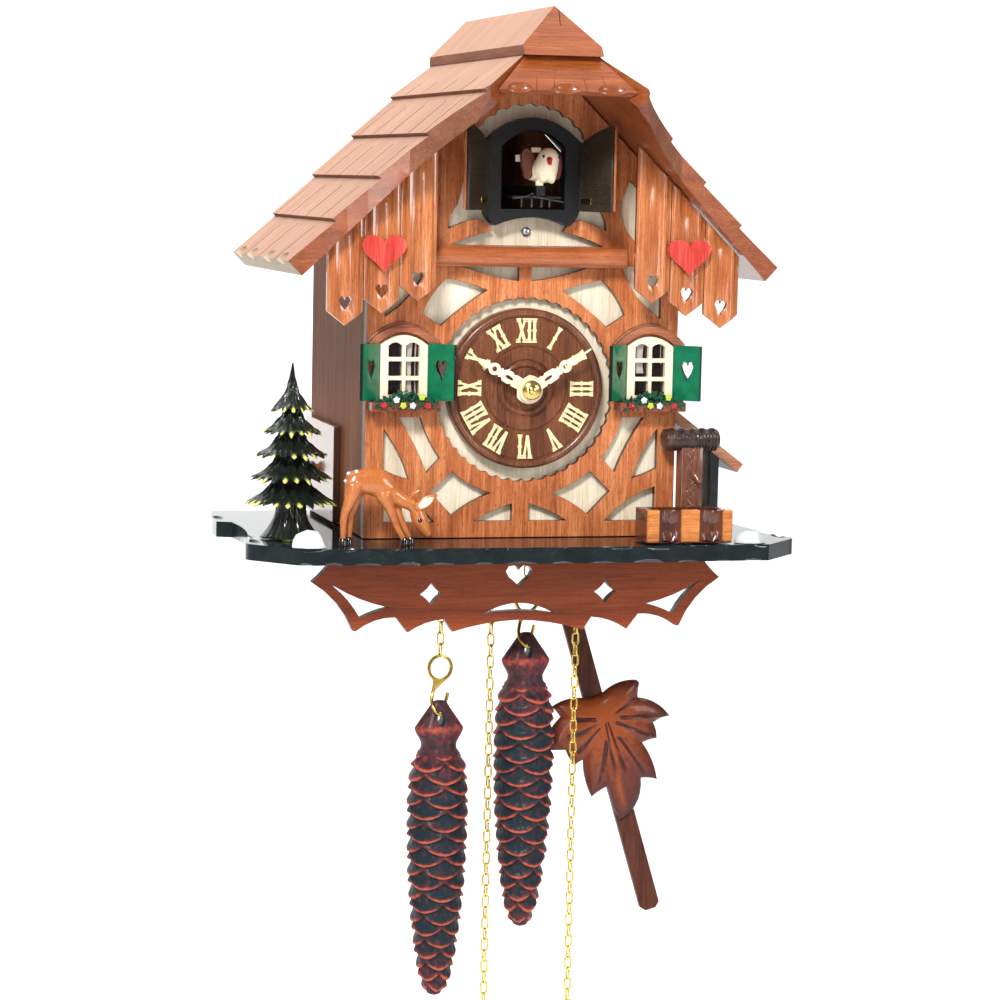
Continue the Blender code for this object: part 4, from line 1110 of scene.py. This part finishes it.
def make_tree():
    rng = random.Random(21)
    tiers = (
        (76.2, 0.35, 56.6, 8.6, 13), (60.0, 2.8, 46.8, 12.0, 17), (50.5, 4.0, 37.2, 14.8, 19),
        (41.0, 5.2, 27.0, 17.0, 21), (31.0, 6.4, 16.4, 19.0, 23),
    )
    shells = [skirt(*tier, 0.3 * i, rng) for i, tier in enumerate(tiers)]
    steps, rings, tints = 120, [], []
    for i in range(18):
        t = i / 17
        ring = []
        for j in range(steps):
            a = math.tau * j / steps
            bark = 0.35 * math.sin(11 * a + 3 * t) + 0.2 * math.sin(23 * a)
            flare = 6.4 + bark + 7.6 * max(0.0, t - 0.3) ** 1.8 * 1.3 * (1 + 0.34 * math.cos(4 * a + 0.9))
            ring.append((TREE_X + flare * math.cos(a), TREE_Y + flare * math.sin(a), 18.0 - 17.6 * t))
            tints.append(0.6 if t > 0.96 and math.cos(4 * a + 0.9) > 0.5 else 0.0)
        rings.append(ring)
    trunk = tinted(mesh_of(*grid(rings), smooth=True), tints)
    piece("tree", join_with_tint([*shells, trunk]), FIR, "case", ["fir_tree"])


def join_with_tint(meshes):
    values = []
    for mesh in meshes:
        values += [item.value for item in mesh.attributes["tint"].data]
    made = join(meshes)
    if "tint" in made.attributes:
        made.attributes.remove(made.attributes["tint"])
    tinted(made, values)
    made.shade_smooth()
    return made


def make_deer():
    """A grazing fawn: a rounded trunk, thin tapered legs, a lowered head, ears, eye, hooves and spots."""
    near, far = -24.4, -19.6
    middle_y = (near + far) / 2

    def along(y, *points):
        return [(x, y, z, r) for x, z, r in points]

    strokes = [
        (0.78, along(middle_y, (-78.5, 27.4, 5.2), (-73.4, 27.7, 5.9), (-69.2, 26.8, 6.1), (-66.0, 24.4, 5.4))),
        (0.78, along(middle_y, (-65.7, 23.2, 4.8), (-62.1, 21.2, 3.8), (-58.9, 19.2, 3.1), (-55.0, 17.7, 2.8),
                     (-52.2, 15.7, 2.9))),
        (0.85, along(middle_y, (-51.7, 13.4, 3.4), (-50.5, 10.6, 3.6), (-48.6, 7.4, 2.7), (-47.1, 4.7, 1.9))),
        (0.85, along(near + 0.4, (-80.2, 24.9, 3.9), (-81.7, 19.4, 2.7), (-83.6, 14.7, 1.9), (-84.5, 10.9, 1.6),
                     (-84.4, 5.4, 1.5), (-84.4, 3.0, 1.4))),
        (0.85, along(far - 0.2, (-78.1, 22.8, 3.3), (-79.0, 17.6, 2.3), (-80.6, 12.8, 1.7), (-81.0, 4.9, 1.45),
                     (-81.1, 2.9, 1.3))),
        (0.85, along(near + 0.4, (-67.0, 21.4, 3.6), (-64.4, 16.2, 2.3), (-62.5, 11.4, 1.8), (-60.8, 7.3, 1.55),
                     (-58.8, 3.8, 1.4), (-57.9, 2.4, 1.3))),
        (0.85, along(far - 0.2, (-61.6, 17.5, 2.7), (-58.7, 11.3, 1.7), (-55.7, 4.7, 1.5), (-54.4, 2.4, 1.3))),
    ]
    piece("deer_body", blob(strokes, 0.5, 6), FAWN, "case", ["deer"])

    hooves = []
    for x, y in ((-84.5, near + 0.4), (-81.2, far - 0.2), (-57.5, near + 0.4), (-54.0, far - 0.2)):
        profile = [(1.0, 3.6), (1.5, 3.0), (1.75, 1.6), (1.9, 0.5), (1.5, 0.35)]
        hooves.append(turned([(0.0, 3.7), *profile, (0.0, 0.35)], (x, y, 0.0), "z", 20))
    piece("deer_hooves", smooth_by_angle(join(hooves), 40), HOOF, "case")
    ears, lining = [], []
    for y, root, tip in ((near - 0.4, (-53.2, 15.4), (-43.9, 22.0)), (far + 1.4, (-54.6, 16.4), (-49.6, 23.6))):
        start, end = Vector((root[0], y + 1.0, root[1])), Vector((tip[0], y - 0.2, tip[1]))
        for wide, push, store in ((2.5, 0.0, ears), (1.55, -0.62, lining)):
            rings = []
            for i in range(11):
                t = i / 10 if push == 0 else 0.16 + 0.66 * i / 10
                w = 0.15 + wide * math.sin(math.pi * min(1.0, 0.10 + (i / 10) * 0.90)) ** 0.75
                centre = start.lerp(end, t) + Vector((0, push, 0))
                across = (end - start).normalized().cross(Vector((0, 1, 0))).normalized()
                ring = []
                for k in range(18):
                    a = math.tau * k / 18
                    ring.append(centre + across * w * math.cos(a) + Vector((0, (0.8 if push == 0 else 0.3)
                                                                            * math.sin(a), 0)))
                rings.append(ring)
            store.append(mesh_of(*grid(rings), smooth=True))
    piece("deer_ears", join(ears), FAWN, "case")
    piece("deer_ear_lining", lining[0], CREAM, "case")
    piece("deer_eye", ball((-51.2, middle_y - 3.0, 10.8), (0.95, 0.5, 0.85), 12, 8), HOOF, "case")
    rng = random.Random(8)
    spots = []
    for x, z, r in ((-82.3, 31.0, 0.95), (-79.2, 31.9, 0.85), (-83.6, 27.8, 0.85), (-80.8, 28.5, 0.8),
                    (-79.3, 27.6, 0.5), (-81.4, 25.4, 0.9)):
        fx, fz = max(0.0, -x - 78.5) / 5.3, (z - 27.4) / 5.4
        bulge = math.sqrt(max(0.0, 1 - min(0.97, fx * fx + fz * fz)))
        spots.append(ball((x, middle_y - 4.2 * bulge, z), (r, 0.55, r * rng.uniform(0.75, 1.0)), 12, 8))
    piece("deer_spots", join(spots), WHITE, "case")


def make_stones():
    """Two chipped white stones on the deck."""
    rng = random.Random(2)
    for name, x, y, radii, flats in (
        ("left", -99.6, -28.6, (7.9, 4.8, 9.0), 9),
        ("right", 97.6, -27.0, (7.3, 5.2, 5.4), 7),
    ):
        cutters = []
        for _ in range(flats):
            away = Vector((rng.uniform(-1, 1), rng.uniform(-1, 0.2), rng.uniform(0.05, 1))).normalized()
            spot = Vector((away.x * radii[0], away.y * radii[1], away.z * radii[2])) * rng.uniform(0.80, 0.92)
            side = away.orthogonal().normalized() * 9.0
            cutters.append(beam(Vector((x, y, 0)) + spot, Vector((x, y, 0)) + spot + away * 6.0, side,
                                away.cross(side)))
        cutters.append(block((x - 12, y - 9, -12), (x + 12, y + 9, 0.25)))
        mesh = ball((x, y, 0), radii, 24, 14)
        for cutter in cutters:
            mesh = cut(mesh, cutter)
        piece(f"stone_{name}", smooth_by_angle(bevelled(mesh, 0.7, 3, 18), 32), WHITE, "case")


def carved_band(left, right, low, high, front, deep):
    """A band with two rounded bosses and a waist between them, split by an upright groove."""
    columns, rows = 26, 30
    rings = []
    for i in range(rows + 1):
        v = i / rows
        waist = abs(math.cos(math.pi * v)) ** 0.55
        ring = []
        for j in range(columns + 1):
            u = j / columns
            swell = math.sin(math.pi * u) ** 0.5 * waist
            groove = 0.7 * math.exp(-((u - 0.5 - 0.16 * math.sin(math.tau * v)) / 0.06) ** 2)
            scallop = 1.1 * math.sin(math.pi * ((2 * u) % 1.0)) * max(0.0, 1 - 5 * v)
            ring.append((left + (right - left) * u, front + 2.2 - 2.2 * swell + groove * swell,
                         low + (high - low) * v + scallop))
        ring += [(right, deep, ring[-1][2]), (left, deep, ring[0][2])]
        rings.append(ring)
    return mesh_of(*grid(rings), smooth=True)


def make_trough():
    """The log trough: a basin with polished blocks and carved bands along its front."""
    low, high = low_high("trough")
    basin = bevelled(node_mesh("trough"), 0.6, 3, 40)
    piece("trough_basin", basin, DARK, "case", ["trough"])
    edges = [low.x, low.x + 6.0, low.x + 15.6, low.x + 24.4, low.x + 34.6, high.x]
    blocks, bands = [], []
    for i, (a, b) in enumerate(zip(edges, edges[1:])):
        if i % 2 == 0:
            face = block((a + 0.1, low.y - 1.1, low.z + 0.3), (b - 0.1, low.y + 2.2, high.z + 0.4))
            blocks.append(bevelled(face, 1.0, 4))
        else:
            bands.append(carved_band(a, b, low.z + 0.4, high.z, low.y - 1.1, low.y + 1.6))
    piece("trough_blocks", join(blocks), AMBER, "case")
    piece("trough_bands", smooth_by_angle(join(bands), 60), DARK, "case")


def make_post():
    """The well's post with its log cap, and the lean-to shed behind."""
    post_box = bevelled(block((70.0, -12.2, 0.4), (80.0, -3.6, 42.0)), 0.7, 2)
    rng = random.Random(17)
    nicks = []
    for i in range(46):
        x = 74.4 + rng.uniform(-1.9, 1.9)
        z = 3.0 + i * 0.86
        nicks.append(ball((x, -12.3, z), (rng.uniform(0.5, 1.0), 0.45, rng.uniform(0.7, 1.6)), 10, 6))
    post = cut(post_box, *nicks)
    piece("post", smooth_by_angle(post, 40), POST, "case", ["well_post"])
    spout = blob([(1.0, [(75.2, -11.6, 30.4, 1.3), (76.0, -13.4, 28.4, 1.7), (77.0, -15.0, 26.2, 1.4)])], 0.3, 4)
    piece("spout", spout, POST, "case")
    rings = []
    for i in range(91):
        t = i / 90
        x = 62.4 + 25.0 * t
        ring = []
        for j in range(48):
            a = math.tau * j / 48
            crest = max(0.0, math.cos(a))
            bumps = 0.32 * crest * math.sin(x * 1.35) + 0.18 * noise.noise(Vector((x * 0.7, a * 2, 1.0)))
            lines = 0.28 * math.sin(x * 4.1 + 0.7 * math.sin(2 * a)) * (1 if x > 76 else 0.25) * (1 - crest)
            near_end = min(t, 1 - t) * 25.0
            end = math.sqrt(min(1.0, near_end / 1.2)) if near_end < 1.2 else 1.0
            r = (5.4 + bumps + lines) * (0.82 + 0.18 * end)
            flatten = 0.84 if math.cos(a) > 0 else 1.0
            ring.append((x, -8.4 + r * math.sin(a), 44.4 + r * math.cos(a) * flatten))
        rings.append(ring)
    piece("cap_log", smooth_by_angle(mesh_of(*grid(rings)), 50), LOG, "case")

    plank = [(71.2, 51.8), (103.4, 27.4), (106.2, 31.2), (71.2, 57.4)]
    piece("shed_roof", bevelled(board([plank], 9.0, 26.0), 0.4), PLANK, "case", ["shed"])
    wall = [(90.6, 37.2), (90.6, 0.4), (94.8, 0.4), (94.8, 34.2)]
    piece("shed_wall", bevelled(board([wall], 9.6, 24.8), 0.3), SHED, "case")


# ---------------------------------------------------------------- weights, chains and pendulum

CHAIN_PITCH, LINK_LONG, LINK_WIDE, LINK_WIRE = 5.0, 6.5, 3.7, 0.42
SCALE_COUNT, SCALE_ROW = 4, 5.35


def cone_radius(down):
    """The cone's radius at a distance below its top: the flattened head, the neck and the scaled body."""
    marks = (
        (0, 1.5), (0.6, 3.0), (12.3, 11.2), (13.4, 11.0), (19.5, 7.9), (21.5, 8.0), (24.5, 10.2), (29.0, 12.2),
        (34.0, 12.9), (46.0, 13.6), (63.0, 13.4), (80.0, 12.8), (96.0, 11.5), (113.0, 9.5), (124.0, 7.6), (130.0, 6.0),
        (134.0, 3.6), (135.3, 0.5),
    )
    for (a, ra), (b, rb) in zip(marks, marks[1:]):
        if down <= b:
            t = (down - a) / (b - a)
            return ra + (rb - ra) * (t if b - a < 1 or b < 13 else t * t * (3 - 2 * t) * 0.35 + t * 0.65)
    return marks[-1][1]


def scale_relief(angle, down):
    """How far a cone's scales stand out (0 to 1), and how much painted highlight a point takes from its scale's lip (0
    to 1).
    """
    wedge = math.tau / SCALE_COUNT
    for k in range(-1, 22):
        phi = (angle + (k % 2) * wedge / 2 + wedge / 2) % wedge - wedge / 2
        across = abs(phi) / (wedge / 2)
        edge = 25.8 + SCALE_ROW * k - 3.7 * across ** 1.9
        if edge >= down:
            above = edge - down
            long = SCALE_ROW + 1.8
            lip = math.exp(-(above / 2.3) ** 2) * (1 - 0.55 * across ** 3)
            out = 0.38 * max(0.0, 1 - above / long) + 0.62 * lip
            rounding = 1 - math.exp(-above / 0.28)
            # The second value is a painted highlight along the middle of the lip.
            return out * (0.30 + 0.70 * rounding), math.exp(-((above - 0.5) / 1.0) ** 2) * (1 - 0.8 * across ** 2.5)
    return 0.3, 0.0


def make_cone(side):
    """A cast fir cone: overlapping scales whose lips carry a painted red highlight, a flattened head with a painted
    highlight on its ridge, and its eye.
    """
    low, high = low_high(f"cone_{side}")
    x, y = (low.x + high.x) / 2, (low.y + high.y) / 2
    top = high.z - 19.3
    twist = math.radians(90 + CAMERA_AZIMUTH - 18 + (0 if side == "left" else 27))
    steps, rings, tints = 192, [], []
    downs = [0.0, 0.25, 0.6, 1.2] + [2.0 + 0.6 * i for i in range(38)] + [24.6 + 0.3 * i for i in range(369)]
    for down in downs:
        head = max(0.0, 1 - max(0.0, down - 13.0) / 7.0) if down < 20.0 else 0.0
        squash = 1 - 0.42 * head
        ring = []
        for j in range(steps):
            a = math.tau * j / steps
            base = cone_radius(down)
            rough = noise.noise(Vector((math.cos(a) * base * 0.5, math.sin(a) * base * 0.5, down * 0.42)))
            if down > 24.0:
                relief, lip = scale_relief(a + twist, down)
                fade = min(1.0, (down - 24.0) / 2.0, (135.3 - down) / 5.0)
                r = base - 1.7 + (2.5 * relief + 0.15 * rough) * fade + 1.1 * (1 - fade)
                warm = 0.24 * max(0.0, 1 - (down - 24.0) / 18.0) + 0.20 * max(0.0, 1 - (135.3 - down) / 32.0)
                # The lip term paints a highlight in the paint's red-copper onto each scale's lip.
                tints.append(0.10 + warm + 0.80 * lip * fade + 0.32 * rough)
            else:
                r = base + 0.10 * noise.noise(Vector((math.cos(a) * 2, math.sin(a) * 2, down * 0.3)))
                # The ridge term paints a red highlight along the head's widest ridge.
                ridge = math.exp(-((down - 12.6) / 2.2) ** 2)
                tints.append(0.30 + 0.28 * ridge + 0.22 * rough)
            ring.append((x + r * math.cos(a), y + r * squash * math.sin(a), top - down))
        rings.append(ring)
    mesh = tinted(mesh_of(*grid(rings), smooth=True), tints)
    oval = [(x + 1.7 * math.cos(a), top - 7.9 + 3.1 * math.sin(a)) for a in (math.tau * i / 20 for i in range(20))]
    mesh = cut(mesh, board([oval], y - 12.0, 24.0))
    mesh.shade_smooth()
    piece(f"cone_weight_{side}", mesh, CONE, f"weight_{side}", [f"cone_{side}"])
    return x, y, top


def arc(centre, radius, start, end, steps, y):
    """Points of an arc that faces the front; 0 degrees is to the right and 90 up."""
    return [(centre[0] + radius * math.cos(a), y, centre[1] + radius * math.sin(a))
            for a in (math.radians(start + (end - start) * i / steps) for i in range(steps + 1))]


def make_hook(side, x, y, top, chain_end):
    """A stamped brass S-hook: a wide flat ring, a web below it, and a hook through the cone's eye."""
    outer, inner, thick = 6.1, 4.8, 1.3
    centre_z = chain_end + 1.1 - outer
    turn = Matrix.Translation((x, y, 0)) @ Matrix.Rotation(math.radians(10), 4, "Z")
    rim = [(outer * math.cos(a), centre_z + outer * math.sin(a))
           for a in (math.radians(-58 + 292 * i / 40) for i in range(41))]
    web = [(-3.2, centre_z - 6.6), (-3.4, centre_z - 8.2), (-3.7, centre_z - 9.8), (-2.4, centre_z - 9.9)]
    plate = board([[*rim, *web], circle(0, centre_z, inner, 40)], -thick / 2, thick, turn)
    bends = [Vector(p) for p in (
        (-2.9, 0.0, centre_z - 9.0), (-3.6, -0.4, top + 3.2), (-4.5, -1.6, top + 0.4), (-4.6, -3.6, top - 2.4),
        (-3.4, -5.2, top - 4.8), (-1.6, -5.4, top - 5.9), (0.0, -3.8, top - 6.2), (1.4, 0.0, top - 6.2),
        (3.0, 4.0, top - 5.6), (4.6, 5.4, top - 3.6), (5.4, 4.8, top - 0.8), (5.9, 4.2, top + 2.4),
    )]
    fine = []
    for i in range(len(bends) - 1):
        a, b, c, d = (bends[max(0, min(len(bends) - 1, i + k))] for k in (-1, 0, 1, 2))
        for s in range(4):
            t = s / 4
            fine.append((b * 2 + (c - a) * t + (a * 2 - b * 5 + c * 4 - d) * t * t
                         + (b * 3 - a - c * 3 + d) * t ** 3) * 0.5)
    fine.append(bends[-1])
    hook = wire([turn @ p for p in fine], 0.8, False, 10)
    mesh = join([bevelled(plate, 0.25, 2), hook])
    return piece(f"hook_{side}", smooth_by_angle(mesh, 45), HOOK, f"weight_{side}")


def link(x, y, z, turn):
    """One oval link of wire, turned about the upright axis."""
    half = LINK_LONG / 2 - LINK_WIRE
    r = LINK_WIDE / 2 - LINK_WIRE
    straight = half - r
    path = []
    for sign in (1, -1):
        for i in range(8):
            a = math.pi * (i / 7) if sign > 0 else math.pi * (1 + i / 7)
            path.append((r * math.cos(a), sign * straight + r * math.sin(a)))
    points = [(x + u * math.cos(turn), y + u * math.sin(turn), z + v) for u, v in path]
    return wire(points, LINK_WIRE, True, 8)


def make_chain(name, node, body):
    """A chain of links in place of its CAD bar."""
    low, high = low_high(node)
    x, y = (low.x + high.x) / 2, (low.y + high.y) / 2
    top, length = high.z, high.z - low.z
    count = round((length - LINK_LONG) / CHAIN_PITCH) + 1
    pitch = (length - LINK_LONG) / (count - 1)
    links = [link(x, y, top - LINK_LONG / 2 - i * pitch, math.radians(90 * (i % 2) + 8)) for i in range(count)]
    chain = join(links)
    chain.shade_smooth()
    obj = piece(name, chain, CHAIN, body, [node])


def make_weights():
    for side in ("left", "right"):
        x, y, top = make_cone(side)
        chain_low = low_high(f"weight_chain_{side}")[0].z
        hook = make_hook(side, x, y, top, chain_low)
        make_chain(f"chain_{side}", f"weight_chain_{side}", f"weight_{side}")
        low, high = low_high(f"free_chain_{side}")
        fx = (low.x + high.x) / 2
        ring = wire(arc((fx, low.z + 2.8), 2.2, 0, 360, 20, y + 0.6)[:-1], 0.55, True, 8)
        end = piece(f"end_ring_{side}", ring, CHAIN, f"free_end_{side}")
        make_chain(f"loose_chain_{side}", f"free_chain_{side}", f"free_end_{side}")


PIVOT = Vector((0.0, 60.0, 93.6))
SWING = math.radians(-JOINTS["pendulum_swing"]["range_deg"][1] / 2)


def hung(x, y, z):
    """A point drawn on the upright pendulum, put where the pendulum rests."""
    return (PIVOT.x + x * math.cos(SWING) + z * math.sin(SWING), PIVOT.y + y,
            PIVOT.z - x * math.sin(SWING) + z * math.cos(SWING))


LEAF_HUB = -194.0
LEAF_EDGE = (
    (5.0, 11.6, 1.5), (20.5, 12.6, 0.6), (22.9, 10.0, -0.3), (20.4, 3.8, 2.0), (32.9, -9.5, -0.6),
    (24.4, -10.2, 0.5), (24.1, -17.8, -0.3), (16.8, -17.6, 1.2), (19.1, -36.8, -0.4), (11.7, -33.6, 3.6),
    (-3.5, -50.2, 0.6), (-5.3, -32.3, -0.3), (-13.6, -34.6, 1.1), (-13.1, -16.3), (-17.8, -17.5, 0.3),
    (-19.7, -9.2), (-29.3, -6.2, 1.8), (-18.0, 6.6, -0.2), (-20.6, 12.6, 1.6), (-4.5, 11.6, -0.8),
)
LEAF_VEINS = (
    (7.0, 1.1, 17.8, 4.5), (8.7, -1.0, 32.0, -8.4), (8.4, -2.1, 31.4, -8.7), (6.4, -3.0, 22.4, -15.7),
    (6.0, -3.6, 19.7, -14.6), (6.1, -10.6, 13.1, -31.1), (5.2, -10.2, 11.9, -26.4), (2.2, -1.8, 4.6, -29.0),
    (-1.1, -10.1, -8.7, -28.5), (-0.3, -10.9, -5.5, -23.6), (-3.1, 1.7, -12.3, 4.7), (-2.9, 0.6, -12.2, 3.4),
    (-2.9, -1.1, -25.4, -4.5), (-3.5, -1.4, -17.8, -2.6), (-2.5, -3.5, -14.9, -11.0), (-3.8, -4.3, -14.5, -12.1),
    (1.0, -2.0, -1.6, -45.0),
)


def make_leaf():
    """The carved leaf: domed over its hub, sunk to a rim, with a pair of gouged veins in each lobe."""
    low = low_high("leaf_bob")[0]
    edge = outline(list(LEAF_EDGE), 7)
    veins = [(Vector((a, b)), Vector((c, d))) for a, b, c, d in LEAF_VEINS]
    front = low.y - PIVOT.y
    rings, tints, rows = [], [], 64
    for i in range(1, rows + 1):
        t = i / rows
        ring = []
        for p in edge:
            q = p * t
            dome = 5.2 * (1 - t ** 2.6) ** 0.7 if t < 1 else 0.0
            groove = max(math.exp(-(line_gap(q, a, b) / 0.34) ** 2) for a, b in veins)
            ridge = math.exp(-(line_gap(q, Vector((1.6, -1.1)), Vector((-0.4, -45.3))) / 0.8) ** 2)
            ring.append(hung(q.x, front + 5.6 - dome + (0.7 * groove - 0.25 * ridge) * (1 - t ** 6), LEAF_HUB + q.y))
            far = min(1.0, q.length / 44.0) + 0.10 * (q.x > 0) * min(1.0, q.length / 20.0)
            tints.append(0.05 + 1.05 * groove + 0.50 * far + 0.22 * t ** 8 - 0.3 * ridge)
        rings.append(ring)
    rings.append([hung(p.x * 0.97, front + 6.0, LEAF_HUB + p.y * 0.97) for p in edge])
    tints += [1.0] * len(edge)
    mesh = tinted(mesh_of(*grid(rings), smooth=True), tints)
    piece("leaf", mesh, LEAF, "pendulum", ["leaf_bob"])
    dress("pendulum_rod", STICK, 0.4)


def line_gap(point, a, b):
    """The distance from a point to a straight vein."""
    along = b - a
    t = max(0.0, min(1.0, (point - a).dot(along) / along.length_squared))
    return (point - a - along * t).length


# ---------------------------------------------------------------- movement

def make_movement():
    for node in ("movement_front_plate", "movement_back_plate"):
        dress(node, BRASS, 0.2, 1)
    for node in ("great_wheel_strike", "great_wheel_going", "escape_wheel"):
        dress(node, BRASS, 0.15, 1)
    dress("anchor", STEEL, 0.2, 1)
    for side in ("left", "right"):
        dress(f"bellows_{side}", PAPER, 0.5)
        dress(f"bellows_lid_{side}", MAPLE, 0.5)


make_case()
make_deck()
make_slats()
make_roof()
make_dial()
make_numerals()
make_hands()
window_rng = random.Random(6)
make_window("left", window_rng)
make_window("right", window_rng)
make_bird_door()
make_tree()
make_deer()
make_stones()
make_trough()
make_post()
make_weights()
make_leaf()
make_movement()


# ---------------------------------------------------------------- stage and light

def make_stage():
    profile = [(-4.0, -0.62), (1.2, -0.62)]
    profile += [(1.2 + 1.4 * math.sin(a), -0.62 + 1.4 * (1 - math.cos(a)))
                for a in (math.radians(9 * i) for i in range(1, 11))]
    profile.append((2.6, 5.0))
    verts = [(x, y, z) for x in (-6.0, 6.0) for y, z in profile]
    count = len(profile)
    faces = [(i, i + 1, count + i + 1, count + i) for i in range(count - 1)]
    mesh = bpy.data.meshes.new("floor")
    mesh.from_pydata(verts, [], faces)
    mesh.shade_smooth()
    mesh.materials.append(gloss("floor_white", (0.93, 0.93, 0.93), (0.91, 0.91, 0.91), 0.9, 0.0, 3.0, 0.0))
    floor = bpy.data.objects.new("floor", mesh)
    bpy.context.scene.collection.objects.link(floor)


def area_light(name, place, aim, size, power, size_y=None):
    data = bpy.data.lights.new(name, "AREA")
    data.shape = "RECTANGLE"
    data.size = size
    data.size_y = size_y or size
    data.energy = power
    light = bpy.data.objects.new(name, data)
    light.location = place
    light.rotation_euler = (Vector(aim) - Vector(place)).to_track_quat("-Z", "Y").to_euler()
    bpy.context.scene.collection.objects.link(light)


def make_light():
    world = bpy.data.worlds.new("room")
    bpy.context.scene.world = world
    bpy.context.scene.view_settings.view_transform = "Standard"
    world.use_nodes = True
    world.node_tree.nodes["Background"].inputs["Color"].default_value = (1.0, 1.0, 1.0, 1.0)
    world.node_tree.nodes["Background"].inputs["Strength"].default_value = 0.22
    aim = (0.0, -0.08, -0.12)
    area_light("key", (-0.70, -1.5, 1.0), aim, 0.34, 38.0)
    area_light("fill", (1.2, -1.4, 0.35), aim, 0.6, 9.0)
    area_light("strip", (-0.55, -1.7, 0.0), aim, 0.08, 4.0, 1.2)
    area_light("backdrop", (0.0, 0.4, 1.6), (0.0, 2.6, 0.0), 2.0, 75.0)


make_stage()
make_light()
